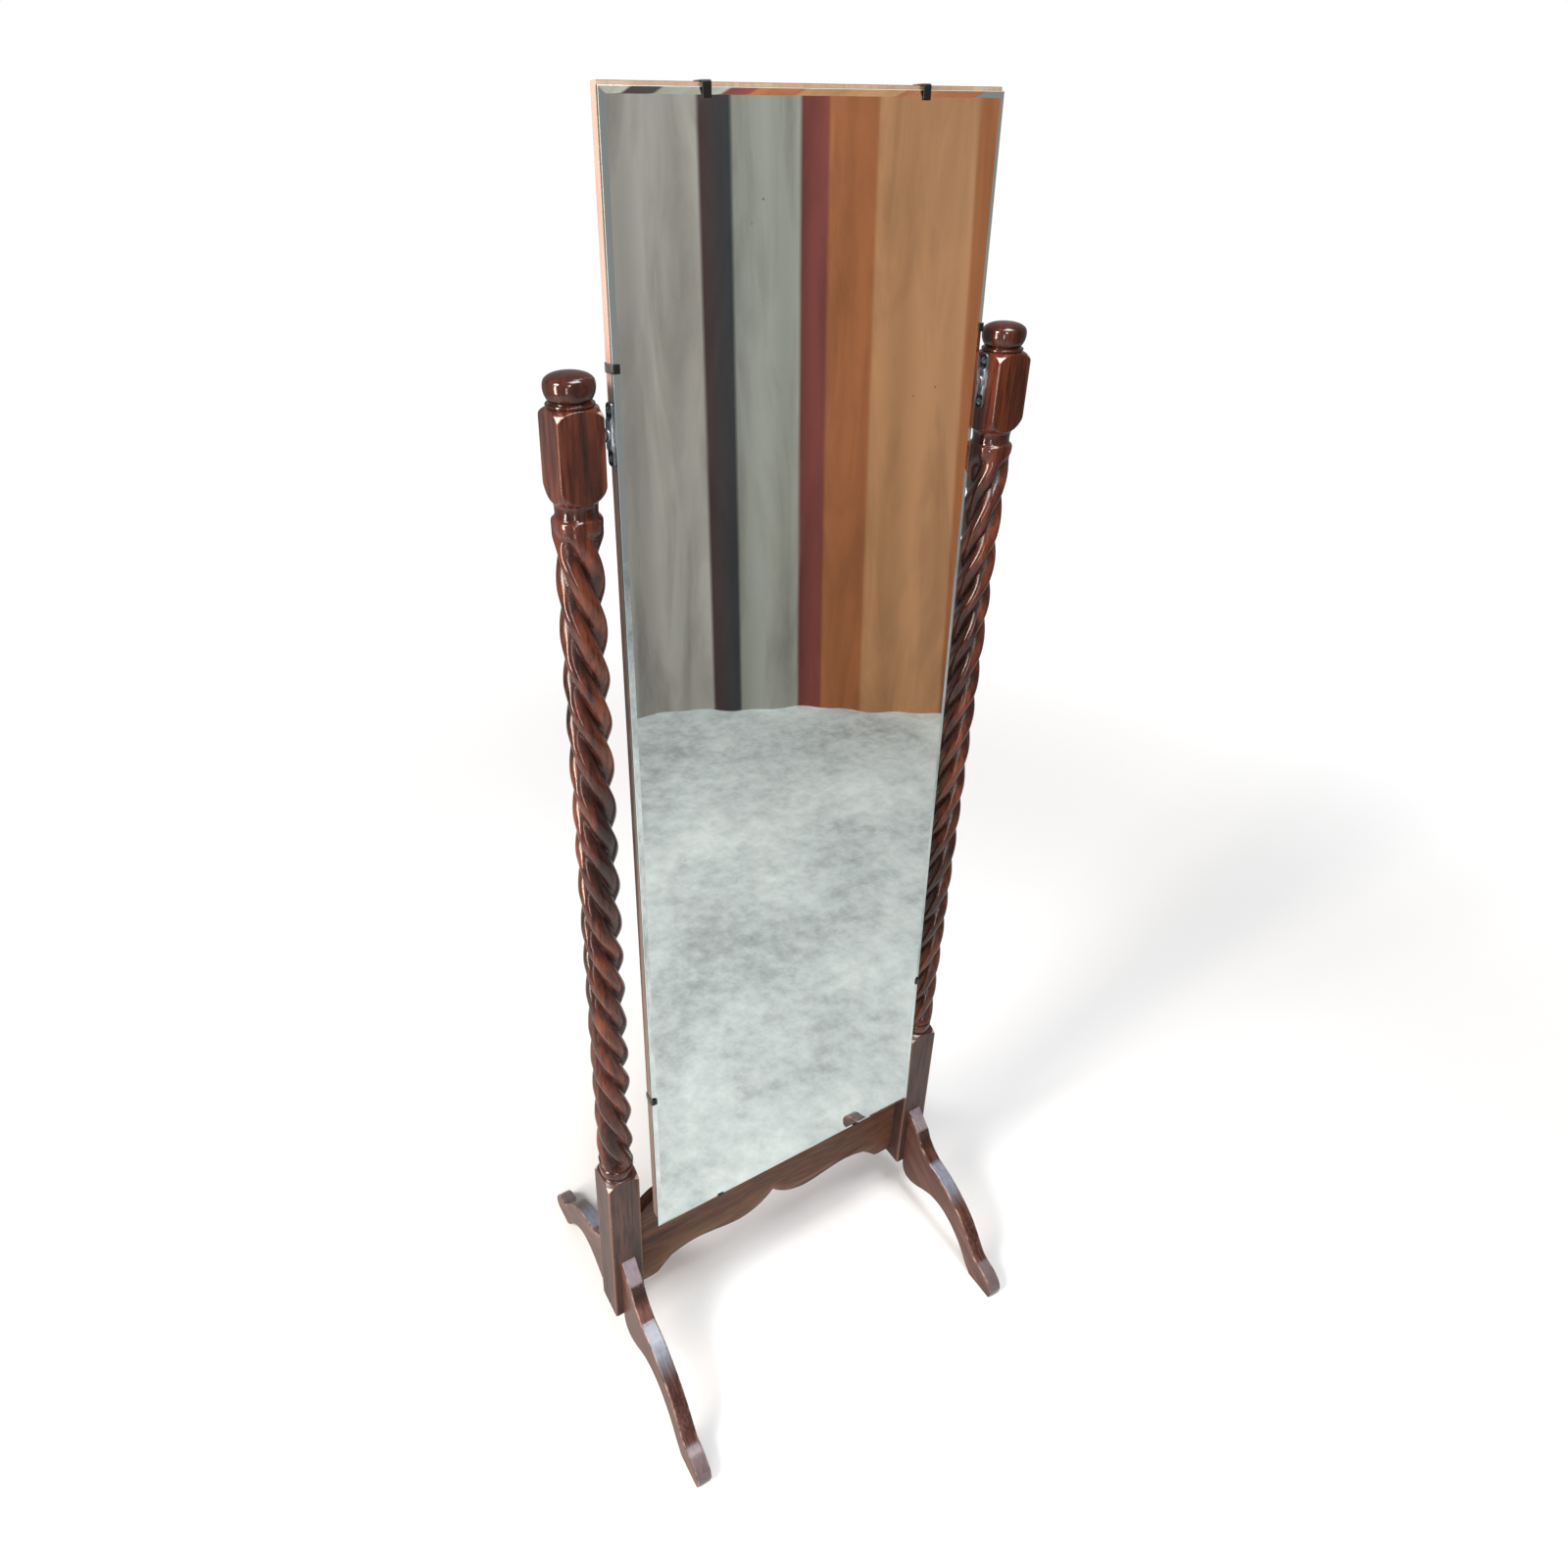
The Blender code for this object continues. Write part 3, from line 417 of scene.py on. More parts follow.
def polish():
    """Dark red-brown stain under french polish: dark pores and tan flecks drawn along the
    wood, painted shade nearly black in the grooves and the turned hollows, a dark-stained finial,
    and pale corner facets on the shoulders that are worn bare wood and a painted highlight."""
    mat, tree, shader = finish_material("polished_wood")
    pores = noise(tree, wood_streaks(tree, 14.0, 260.0), 1.0, 5.0, rough=0.62)
    figure = noise(tree, wood_streaks(tree, 5.0, 34.0, 3.1), 1.0, 4.0, warp=0.6)
    turned = ramp(tree, figure, (0.30, (0.018, 0.006, 0.004)), (0.46, (0.055, 0.014, 0.009)),
                  (0.60, (0.120, 0.029, 0.014)), (0.80, (0.230, 0.074, 0.027)))
    dull = ramp(tree, figure, (0.30, (0.034, 0.015, 0.012)), (0.55, (0.080, 0.036, 0.029)),
                (0.80, (0.130, 0.062, 0.047)))
    colour = mixed(tree, mark(tree, "base")["Fac"], turned, dull)
    streak = ramp(tree, pores, (0.36, (0.30, 0.26, 0.25)), (0.52, (1.0, 1.0, 1.0)),
                  (0.70, (1.28, 1.18, 1.10)))
    colour = mixed(tree, 0.85, colour, streak, "MULTIPLY")
    # Painted shade, near black, in the grooves and hollows; the finial is stained dark by the same mark.
    groove_shade_and_dark_finial = maths(tree, "POWER", mark(tree, "groove")["Fac"], 1.5)
    groove_shade_and_dark_finial = maths(tree, "MULTIPLY", groove_shade_and_dark_finial, 0.88, True)
    colour = mixed(tree, groove_shade_and_dark_finial, colour, (0.020, 0.0055, 0.004))
    bare = noise(tree, wood_streaks(tree, 1.5, 420.0), 1.0, 3.0)
    rub = ramp(tree, bare, (0.30, (0.25, 0.25, 0.25)), (0.46, (1.0, 1.0, 1.0)))
    # The shoulders' corner facets are pale: worn bare wood and a painted highlight.
    worn_and_highlight = maths(tree, "MULTIPLY", mark(tree, "worn")["Fac"], rub, True)
    colour = mixed(tree, worn_and_highlight, colour, (0.60, 0.44, 0.38))
    faint = maths(tree, "MULTIPLY", rub, 0.35)
    edge = maths(tree, "MULTIPLY", mark(tree, "arris")["Fac"], faint, True)
    colour = mixed(tree, edge, colour, (0.42, 0.20, 0.13))
    tree.links.new(colour, shader.inputs["Base Color"])
    rough = node(tree, "MapRange", Value=pores, To_Min=0.08, To_Max=0.18).outputs["Result"]
    rough = maths(tree, "ADD", rough, maths(tree, "MULTIPLY", mark(tree, "base")["Fac"], 0.34))
    rough = maths(tree, "ADD", rough, maths(tree, "MULTIPLY", mark(tree, "deep")["Fac"], 0.16))
    tree.links.new(rough, shader.inputs["Roughness"])
    shader.inputs["Specular IOR Level"].default_value = 0.52
    bump = node(tree, "Bump", Strength=0.07, Distance=0.0005, Height=pores)
    tree.links.new(bump.outputs["Normal"], shader.inputs["Normal"])
    return mat


polished_wood = polish()
upright("left_upright", -1)
upright("right_upright", 1)


# ---- legs ---------------------------------------------------------------
# Four legs sawn from 21 mm board, each dowelled to one face of its upright's
# base block: a short slope, a step, a long knee and a pad for a toe.  The
# stain is thin and the arrises are rubbed pale; the upper faces are rubbed pale
# and given painted light from above, a painted sheen on the knee and painted
# shade on the step.
def outline_run(stretches, parts):
    """One edge of a sawn piece: smooth stretches that meet in corners, joined end to end."""
    return np.vstack([fair_line(run, parts) for run in stretches])


def even_points(line, count):
    """The same line as a number of points evenly spaced along its length."""
    gap = np.hypot(*np.diff(line, axis=0).T)
    keep = np.hstack([[True], gap > 1e-9])
    line, gap = line[keep], gap[gap > 1e-9]
    run = np.hstack([[0.0], np.cumsum(gap)])
    want = np.linspace(0.0, run[-1], count)
    return np.stack([np.interp(want, run, line[:, k]) for k in range(line.shape[1])], axis=-1)


def board_section(half, rounding, rise):
    """Ring of a sawn board: (across, up) with up running 0 to 1 from the lower edge to the
    upper one, the four corners rounded.  rise is the board's local depth, by which the
    rounding is made a share of it; it may be one value for each ring."""
    bend = np.radians([0.0, 22.5, 45.0, 67.5, 90.0])
    share = rounding / rise
    arc = half - rounding + rounding * np.sin(bend)
    lift = share * (1 - np.cos(bend))
    between = share + (1 - 2 * share) * np.linspace(0.0, 1.0, 9)[1:-1]
    column = np.hstack([arc, np.full(7, half), arc[::-1]])
    climb = np.hstack([lift, between, 1 - lift[:, ::-1]])
    inner = (half - rounding) * np.array([-0.85, -0.5, 0.0, 0.5, 0.85])
    level = np.ones((len(climb), 5))
    across = np.hstack([-column, inner, column[::-1], inner[::-1]])
    return across, np.hstack([climb, level, climb[:, ::-1], 0 * level])


LEG_STATIONS = 150
LEG_TOP_RUNS = (
    ((0.02255, 0.1845), (0.0480, 0.1600)),
    ((0.0480, 0.1600), (0.0550, 0.1470), (0.0650, 0.1360), (0.0790, 0.1260)),
    ((0.0790, 0.1260), (0.0900, 0.1230), (0.1060, 0.1180), (0.1270, 0.1080), (0.1450, 0.0970),
     (0.1600, 0.0850), (0.1740, 0.0690), (0.1850, 0.0540), (0.1930, 0.0440), (0.2010, 0.0385)),
    ((0.2010, 0.0385), (0.2180, 0.0320), (0.2290, 0.0230), (0.2340, 0.0130), (0.2333, 0.0045),
     (0.2318, 0.0016)),
)
LEG_FOOT_RUNS = (
    ((0.02255, 0.0640), (0.0260, 0.0530), (0.0330, 0.0460), (0.0440, 0.0445), (0.0580, 0.0490),
     (0.0730, 0.0570), (0.0880, 0.0635), (0.1030, 0.0660), (0.1180, 0.0645), (0.1320, 0.0590),
     (0.1460, 0.0500), (0.1590, 0.0385), (0.1700, 0.0250), (0.1800, 0.0110), (0.1900, 0.0)),
    ((0.1900, 0.0), (0.2305, 0.0)),
)


def leg(name, front):
    """Rings out along the leg.  Ring by ring the board's section is stretched between
    matching points of the lower and the upper edge of the sawn outline."""
    low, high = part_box(name)
    middle = (low.x + high.x) / 2
    half = (high.x - low.x) / 2
    upper = even_points(outline_run(LEG_TOP_RUNS, 10), LEG_STATIONS)
    under = even_points(outline_run(LEG_FOOT_RUNS, 10), LEG_STATIONS)
    rise = np.maximum(np.hypot(*(upper - under).T), 0.0045)[:, None]
    across, up = board_section(half, 0.0019, rise)
    side = np.arange(LEG_STATIONS)[:, None]
    dents = 0.00008 * np.sin(0.9 * side + 3 * middle) * np.sin(0.23 * side + front)
    out = under[:, :1] + (upper - under)[:, :1] * up
    tall = under[:, 1:] + (upper - under)[:, 1:] * up
    spread = np.stack([middle + across + 0 * out, front * out, tall + dents * (up > 0.9)], axis=-1)
    spread[..., 2] = np.maximum(spread[..., 2], 0.0)
    lean = math.radians(33.0)
    grain = np.stack([spread[..., 0] + 3 * front, tall * math.cos(lean) + out * math.sin(lean),
                      out * math.cos(lean) - tall * math.sin(lean)], axis=-1)
    edge = np.exp(-((np.abs(across) - half + 0.0008) / 0.0009) ** 2) * step_up(up, 0.90, 0.97)
    top = step_up(up, 0.97, 0.995) * (np.abs(across) < half - 0.0010)
    first = top * (1 - step_up(out, 0.0450, 0.0480))
    # Painted shade: the steep step after the first slope is marked to be darkened.
    painted_step_shade = top * step_up(out, 0.0470, 0.0500) * (1 - step_up(out, 0.0540, 0.0680))
    toe = top * step_up(out, 0.1985, 0.2030)
    # Painted sheen: the knee takes a bluish reflection of the light above into its colour.
    knee = top * step_up(out, 0.0770, 0.0860) * (1 - step_up(out, 0.1100, 0.1500))
    # The first slope and the toe pad are marked pale: rubbed finish and painted light from above.
    marks = {"grain": grain, "rubbed": first + 0.45 * toe, "edge": edge,
             "dark": painted_step_shade, "sheen": knee, "top": top}
    made = skin(name + "_sawn", spread, marks)
    made.data.materials.append(leg_wood)
    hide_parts(name)
    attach(made, "stand")


def leg_finish():
    """Thin red-brown stain: long grain, a lilac bloom on the first slope and the toe pad that is
    rubbed finish and painted light from above, a painted bluish sheen on the knee, painted
    shade on the step and pale chipped arrises."""
    mat, tree, shader = finish_material("leg_wood")
    pores = noise(tree, wood_streaks(tree, 16.0, 420.0), 1.0, 5.0, rough=0.65)
    figure = noise(tree, wood_streaks(tree, 7.0, 60.0, 1.7), 1.0, 3.0, warp=0.4)
    side = ramp(tree, figure, (0.30, (0.060, 0.021, 0.015)), (0.50, (0.105, 0.040, 0.028)),
                (0.72, (0.160, 0.064, 0.044)))
    top = ramp(tree, figure, (0.30, (0.050, 0.020, 0.015)), (0.55, (0.098, 0.042, 0.033)),
               (0.80, (0.155, 0.072, 0.058)))
    colour = mixed(tree, mark(tree, "top")["Fac"], side, top)
    streak = ramp(tree, pores, (0.38, (0.42, 0.36, 0.35)), (0.54, (1.0, 1.0, 1.0)),
                  (0.74, (1.25, 1.22, 1.20)))
    colour = mixed(tree, 0.80, colour, streak, "MULTIPLY")
    patch = noise(tree, wood_streaks(tree, 2.0, 190.0, 5.3), 1.0, 4.0)
    cover = ramp(tree, patch, (0.30, (0.72, 0.72, 0.72)), (0.62, (1.0, 1.0, 1.0)))
    # Lilac bloom: rubbed finish and painted light from above.
    bloom_and_light = maths(tree, "MULTIPLY", mark(tree, "rubbed")["Fac"], cover, True)
    colour = mixed(tree, bloom_and_light, colour, (0.225, 0.195, 0.220))
    # Painted shade, near black, on the steep step.
    colour = mixed(tree, mark(tree, "dark")["Fac"], colour, (0.030, 0.013, 0.010))
    thin = maths(tree, "MULTIPLY", cover, 0.85)
    # Painted reflection: a bluish sheen on the knee.
    sheen = maths(tree, "MULTIPLY", mark(tree, "sheen")["Fac"], thin, True)
    colour = mixed(tree, sheen, colour, (0.205, 0.235, 0.300))
    chips = ramp(tree, patch, (0.44, (0.0, 0.0, 0.0)), (0.62, (1.0, 1.0, 1.0)))
    chipped = maths(tree, "MULTIPLY", mark(tree, "edge")["Fac"], chips)
    chipped = maths(tree, "MULTIPLY", chipped, 0.85, True)
    colour = mixed(tree, chipped, colour, (0.42, 0.26, 0.22))
    tree.links.new(colour, shader.inputs["Base Color"])
    rough = node(tree, "MapRange", Value=pores, To_Min=0.30, To_Max=0.50).outputs["Result"]
    rough = maths(tree, "SUBTRACT", rough, maths(tree, "MULTIPLY", mark(tree, "top")["Fac"], 0.13))
    tree.links.new(rough, shader.inputs["Roughness"])
    shader.inputs["Specular IOR Level"].default_value = 0.40
    shader.inputs["Coat Weight"].default_value = 0.12
    shader.inputs["Coat Roughness"].default_value = 0.25
    bump = node(tree, "Bump", Strength=0.25, Distance=0.0005, Height=pores)
    tree.links.new(bump.outputs["Normal"], shader.inputs["Normal"])
    return mat


leg_wood = leg_finish()
leg("front_left_leg", -1)
leg("front_right_leg", -1)
leg("rear_left_leg", 1)
leg("rear_right_leg", 1)


# ---- rail ---------------------------------------------------------------
# One 18 mm board of oak dowelled between the base blocks, its lower edge sawn
# to a cusp, two drooping lobes and two long flat arches.
RAIL_LOWER_RUNS = (
    ((0.0, 0.1370), (0.0080, 0.1290), (0.0230, 0.1180), (0.0400, 0.1110), (0.0590, 0.1080),
     (0.0800, 0.1100), (0.1050, 0.1145), (0.1300, 0.1175), (0.1520, 0.1155), (0.1720, 0.1100)),
    ((0.1720, 0.1100), (0.1850, 0.0985), (0.1950, 0.0885), (0.2030, 0.0860)),
    ((0.2030, 0.0860), (0.22745, 0.0860)),
)
RAIL_UPPER_RUN = ((0.0, 0.2620), (0.0800, 0.2610), (0.1600, 0.2585), (0.1900, 0.2550),
                  (0.2050, 0.2480), (0.2170, 0.2385), (0.22745, 0.2340))


def rail():
    """Rings along the rail from end to end, the board's section stretched between the
    heights of the lower and the upper edge at that place."""
    low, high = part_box("rail")
    middle = (low.y + high.y) / 2
    half = (high.y - low.y) / 2
    lower = outline_run(RAIL_LOWER_RUNS, 12)
    upper = fair_line(RAIL_UPPER_RUN, 12)
    reach = high.x
    place = np.unique(np.round(np.hstack([np.linspace(0.0, reach, 160), lower[:, 0]]), 5))
    place = np.hstack([-place[:0:-1], place])[:, None]
    under = np.interp(np.abs(place), lower[:, 0], lower[:, 1])
    over = np.interp(np.abs(place), upper[:, 0], upper[:, 1])
    across, up = board_section(half, 0.0016, over - under)
    tall = under + (over - under) * up
    spread = np.stack([place + 0 * tall, middle + across + 0 * tall, tall], axis=-1)
    grain = np.stack([spread[..., 1] + 7.0, tall, place + 0 * tall], axis=-1)
    edge = np.exp(-((np.abs(across) - half + 0.0006) / 0.0008) ** 2) + 0 * tall
    edge = edge * np.maximum(step_up(up, 0.97, 0.99), 1 - step_up(up, 0.01, 0.03))
    gold = (1 - step_up(tall, under + 0.010, under + 0.055)) * step_up(-place, -0.10, 0.19)
    made = skin("rail_sawn", spread, {"grain": grain, "edge": edge, "gold": gold + 0 * tall})
    made.data.materials.append(rail_finish())
    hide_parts("rail")
    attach(made, "stand")


def rail_finish():
    """Brown stained oak: short dark pores in bands along the board, wide figure, a yellower
    patch low on the left where the stain has gone."""
    mat, tree, shader = finish_material("rail_wood")
    pores = noise(tree, wood_streaks(tree, 22.0, 640.0), 1.0, 4.0, rough=0.6)
    warped = noise(tree, wood_streaks(tree, 6.0, 36.0, 2.0), 1.0, 5.0, warp=1.1)
    body = ramp(tree, warped, (0.28, (0.066, 0.022, 0.013)), (0.48, (0.135, 0.052, 0.029)),
                (0.66, (0.205, 0.086, 0.047)), (0.82, (0.270, 0.126, 0.068)))
    streak = ramp(tree, pores, (0.40, (0.36, 0.30, 0.27)), (0.52, (1.0, 1.0, 1.0)),
                  (0.75, (1.2, 1.18, 1.12)))
    colour = mixed(tree, 0.85, body, streak, "MULTIPLY")
    faded = maths(tree, "MULTIPLY", mark(tree, "gold")["Fac"], 0.45, True)
    colour = mixed(tree, faded, colour, (0.270, 0.150, 0.070))
    chips = ramp(tree, warped, (0.42, (0.0, 0.0, 0.0)), (0.60, (1.0, 1.0, 1.0)))
    worn = maths(tree, "MULTIPLY", mark(tree, "edge")["Fac"], chips)
    worn = maths(tree, "MULTIPLY", worn, 0.55, True)
    colour = mixed(tree, worn, colour, (0.40, 0.26, 0.19))
    tree.links.new(colour, shader.inputs["Base Color"])
    rough = node(tree, "MapRange", Value=pores, To_Min=0.42, To_Max=0.62).outputs["Result"]
    tree.links.new(rough, shader.inputs["Roughness"])
    shader.inputs["Specular IOR Level"].default_value = 0.30
    bump = node(tree, "Bump", Strength=0.35, Distance=0.0005, Height=pores)
    tree.links.new(bump.outputs["Normal"], shader.inputs["Normal"])
    return mat


rail()


# ---- dowels -------------------------------------------------------------
# Plain beech dowels, glued and hidden in the joints of the legs and the rail.
def flecked(name, scale, detail, low, high, rough):
    """A plain dull finish, fine noise run between two (place, colour) stops."""
    mat, tree, shader = finish_material(name)
    where = node(tree, "TexCoord").outputs["Object"]
    fleck = noise(tree, where, scale, detail)
    tree.links.new(ramp(tree, fleck, low, high), shader.inputs["Base Color"])
    shader.inputs["Roughness"].default_value = rough
    return mat


def dress(solid, finish):
    """Give a plain hidden piece its finish, in place of the one it came with."""
    solid.data.materials.clear()
    solid.data.materials.append(finish)


beech = flecked("dowel_beech", 900.0, 2.0, (0.35, (0.42, 0.28, 0.16)), (0.65, (0.58, 0.42, 0.26)), 0.7)
for title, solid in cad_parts.items():
    if "dowel" in title:
        dress(solid, beech)


# ---- swinging panel: board ----------------------------------------------
# A sheet of birch ply as wide as the glass it backs.  The panel's pieces are
# worked out across, from front to back and up from the pivot line, then leaned
# back together.
PIVOT = np.array((0.0, 0.0, 1.3115))
PANEL_LEAN = math.radians(1.8)


def lean(points):
    """Panel frame to the room: turned about the pivot line by the panel's lean."""
    x, y, z = np.moveaxis(np.asarray(points, float), -1, 0)
    c, s = math.cos(PANEL_LEAN), math.sin(PANEL_LEAN)
    return np.stack([x + PIVOT[0], y * c + z * s + PIVOT[1], z * c - y * s + PIVOT[2]], axis=-1)


GLASS_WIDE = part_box("mirror_glass")[1].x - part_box("mirror_glass")[0].x
GLASS_HIGH, GLASS_LOW, GLASS_THICK = 0.2715, -1.0609, 0.0045
BOARD_FACE, BOARD_REAR = -0.0042, 0.0060
BOARD_HIGH, BOARD_LOW = GLASS_HIGH + 0.0036, GLASS_LOW + 0.014


def backboard():
    """Rings up the board: a rectangle with rounded arrises, drawn in a little at both ends."""
    half = GLASS_WIDE / 2
    depth = BOARD_REAR - BOARD_FACE
    up, share = board_section(half, 0.0008, np.array([[depth]]))
    inset = np.array([0.0007, 0.0002, 0.0])
    ends = np.array([0.0, 0.0003, 0.0009])
    rows = np.hstack([BOARD_LOW + ends, np.linspace(BOARD_LOW + 0.02, BOARD_HIGH - 0.02, 60),
                      BOARD_HIGH - ends[::-1]])
    draw = np.hstack([inset, np.zeros(60), inset[::-1]])[:, None]
    across = up[None, :] * (1 - draw / half)
    through = BOARD_FACE + depth * share + draw * (0.5 - share)
    tall = rows[:, None] + 0 * across
    local = np.stack([across, through + 0 * across, tall], axis=-1)
    side = step_up(np.abs(across), half - 0.0005, half - 0.0001)
    end = (draw > 0.0001) * 1.0 + 0 * across
    marks = {"ply": share + 0 * across, "side": side * (1 - end), "end": end,
             "grain": np.stack([local[..., 0], local[..., 1], local[..., 2]], axis=-1)}
    made = skin("backboard_ply", lean(local), marks, 60.0)
    made.data.materials.append(ply_finish())
    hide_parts("backboard")
    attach(made, "mirror_panel")


def ply_finish():
    """Birch ply: pink-tan raw faces with long figure, darker glue lines between the plies on
    the top edge, and sides painted a salmon pink, with painted shade that darkens them towards the foot."""
    mat, tree, shader = finish_material("board_ply")
    streak = noise(tree, wood_streaks(tree, 18.0, 240.0), 1.0, 5.0, rough=0.6)
    figure = noise(tree, wood_streaks(tree, 7.0, 14.0, 4.0), 1.0, 3.0, warp=0.9)
    face = ramp(tree, figure, (0.30, (0.40, 0.25, 0.155)), (0.55, (0.52, 0.345, 0.225)),
                (0.80, (0.60, 0.42, 0.29)))
    lines = maths(tree, "PINGPONG", maths(tree, "MULTIPLY", mark(tree, "ply")["Fac"], 5.0), 0.5)
    layers = ramp(tree, lines, (0.02, (0.16, 0.085, 0.055)), (0.12, (0.36, 0.24, 0.175)),
                  (0.46, (0.47, 0.335, 0.25)))
    height = node(tree, "SeparateXYZ", Vector=mark(tree, "grain")["Vector"]).outputs["Z"]
    # Painted shade: the sides darken from salmon to grey-brown towards the foot.
    low = node(tree, "MapRange", Value=height, From_Min=0.10, From_Max=-0.35).outputs["Result"]
    salmon_paint_and_shade = mixed(tree, low, (0.47, 0.285, 0.235), (0.185, 0.125, 0.110))
    colour = mixed(tree, mark(tree, "end")["Fac"], face, layers)
    colour = mixed(tree, mark(tree, "side")["Fac"], colour, salmon_paint_and_shade)
    pull = ramp(tree, streak, (0.36, (0.72, 0.66, 0.62)), (0.56, (1.0, 1.0, 1.0)))
    colour = mixed(tree, 0.55, colour, pull, "MULTIPLY")
    tree.links.new(colour, shader.inputs["Base Color"])
    shader.inputs["Roughness"].default_value = 0.72
    bump = node(tree, "Bump", Strength=0.2, Distance=0.0004, Height=streak)
    tree.links.new(bump.outputs["Normal"], shader.inputs["Normal"])
    return mat


backboard()


# ---- swinging panel: glass ----------------------------------------------
# A plate of 4.5 mm glass, silvered on the back, with a 6 mm bevel ground and
# polished round its front and a fine seamed edge outside that.
def glass():
    """Rings from the plate's back, round its edge and up the bevel to the front, each a
    rectangle set in by its own amount at its own depth."""
    back = BOARD_FACE - 0.0003
    front = back - GLASS_THICK
    steps = np.array([(0.0012, back), (0.0002, back), (0.0, back - 0.0003), (0.0, front + 0.0019),
                      (0.0005, front + 0.0015), (0.0007, front + 0.00145), (0.0056, front + 0.00012),
                      (0.0060, front), (0.0064, front), (0.0300, front)])
    half = GLASS_WIDE / 2
    inset, depth = steps[:, :1], steps[:, 1:]
    run = np.linspace(-1.0, 1.0, 41)
    one, low, high = np.ones(40), GLASS_LOW + inset, GLASS_HIGH - inset
    wide = half - inset
    mid = (GLASS_LOW + GLASS_HIGH) / 2
    tall = (high - low) / 2
    across = np.hstack([wide * run[:-1], wide * one, wide * -run[:-1], -wide * one])
    up = mid + np.hstack([-tall * one, tall * run[:-1], tall * one, tall * -run[:-1]])
    local = np.stack([across, depth + 0 * across, up], axis=-1)
    rim = np.repeat([1.0, 0.0], (5, 5))[:, None] + 0 * across
    # The back margin and the side edge are marked for painted shade, near black.
    flank = np.repeat([1.0, 0.0], (4, 6))[:, None] + 0 * across
    marks = {"rim": rim, "flank": flank, "grain": local}
    made = skin("mirror_glass_plate", lean(local), marks, 8.0)
    made.data.materials.append(silvered())
    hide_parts("mirror_glass")
    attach(made, "mirror_panel")


def silvered():
    """Silver seen through slightly green glass, with faint wiping smears, pin-prick age
    spots, a frosted green-white seam along the outer edge, and the plate's side edge and back
    margin painted near black as painted shade."""
    mat, tree, shader = finish_material("silvered_glass")
    where = mark(tree, "grain")["Vector"]
    smear = noise(tree, where, 7.0, 6.0, warp=1.4)
    tone = ramp(tree, smear, (0.30, (0.690, 0.745, 0.738)), (0.70, (0.735, 0.785, 0.775)))
    cells = node(tree, "TexVoronoi", Vector=where, Scale=46.0).outputs["Distance"]
    spot = ramp(tree, cells, (0.035, (1.0, 1.0, 1.0)), (0.065, (0.0, 0.0, 0.0)))
    thin = noise(tree, where, 11.0, 2.0)
    some = ramp(tree, thin, (0.58, (0.0, 0.0, 0.0)), (0.66, (1.0, 1.0, 1.0)))
    aged = maths(tree, "MULTIPLY", maths(tree, "MULTIPLY", spot, some), 0.7, True)
    tone = mixed(tree, aged, tone, (0.20, 0.22, 0.20))
    tone = mixed(tree, mark(tree, "rim")["Fac"], tone, (0.50, 0.60, 0.57))
    # Painted shade: the side edge and back margin near black.
    tone = mixed(tree, mark(tree, "flank")["Fac"], tone, (0.055, 0.060, 0.055))
    tree.links.new(tone, shader.inputs["Base Color"])
    metal = maths(tree, "SUBTRACT", 1.0, mark(tree, "rim")["Fac"], True)
    tree.links.new(metal, shader.inputs["Metallic"])
    film = node(tree, "MapRange", Value=smear, From_Min=0.45, From_Max=0.75, To_Min=0.008,
                To_Max=0.03).outputs["Result"]
    seam = maths(tree, "MULTIPLY", mark(tree, "rim")["Fac"], 0.22)
    rough = maths(tree, "ADD", seam, maths(tree, "MULTIPLY", aged, 0.3))
    rough = maths(tree, "ADD", film, rough)
    tree.links.new(rough, shader.inputs["Roughness"])
    shader.inputs["Coat Weight"].default_value = 0.25
    shader.inputs["Coat Roughness"].default_value = 0.01
    return mat


glass()


# ---- clips --------------------------------------------------------------
# Eight strips of 1 mm blackened steel bent round the panel's edge: a short
# tab laps the glass, and the back leaf is held by one round-headed screw.
CLIP_WIDE, CLIP_THICK = 0.0085, 0.0010
SLACK = 0.0003               # room between one piece and the next
TURN_OF = {"left": 0.0, "top": -90.0, "right": 180.0, "bottom": 90.0}


def strip_ring(wide, thick):
    """Section of a flat strip, (across, out), with its four corners rounded."""
    bend = np.radians(np.arange(0.0, 90.0, 30.0))
    r = thick * 0.35
    cx, cy = wide / 2 - r, thick / 2 - r
    ring = []
    for quarter in range(4):
        turn = bend + quarter * np.pi / 2
        sx = 1 if quarter in (0, 3) else -1
        sy = 1 if quarter in (0, 1) else -1
        ring.append(np.stack([sx * cx + r * np.cos(turn), sy * cy + r * np.sin(turn)], axis=-1))
    return np.vstack(ring)


def bent_line(points, bend, parts=6):
    """A line with straight runs between points and its corners rounded by quarter turns."""
    p = np.asarray(points, float)
    out = [p[:1]]
    for before, here, after in zip(p[:-2], p[1:-1], p[2:]):
        a = (before - here) / np.linalg.norm(before - here) * bend
        b = (after - here) / np.linalg.norm(after - here) * bend
        turn = np.linspace(0.0, np.pi / 2, parts)[:, None]
        out.append(here + a * (1 - np.sin(turn)) + b * (1 - np.cos(turn)))
    out.append(p[-1:])
    return np.vstack(out)


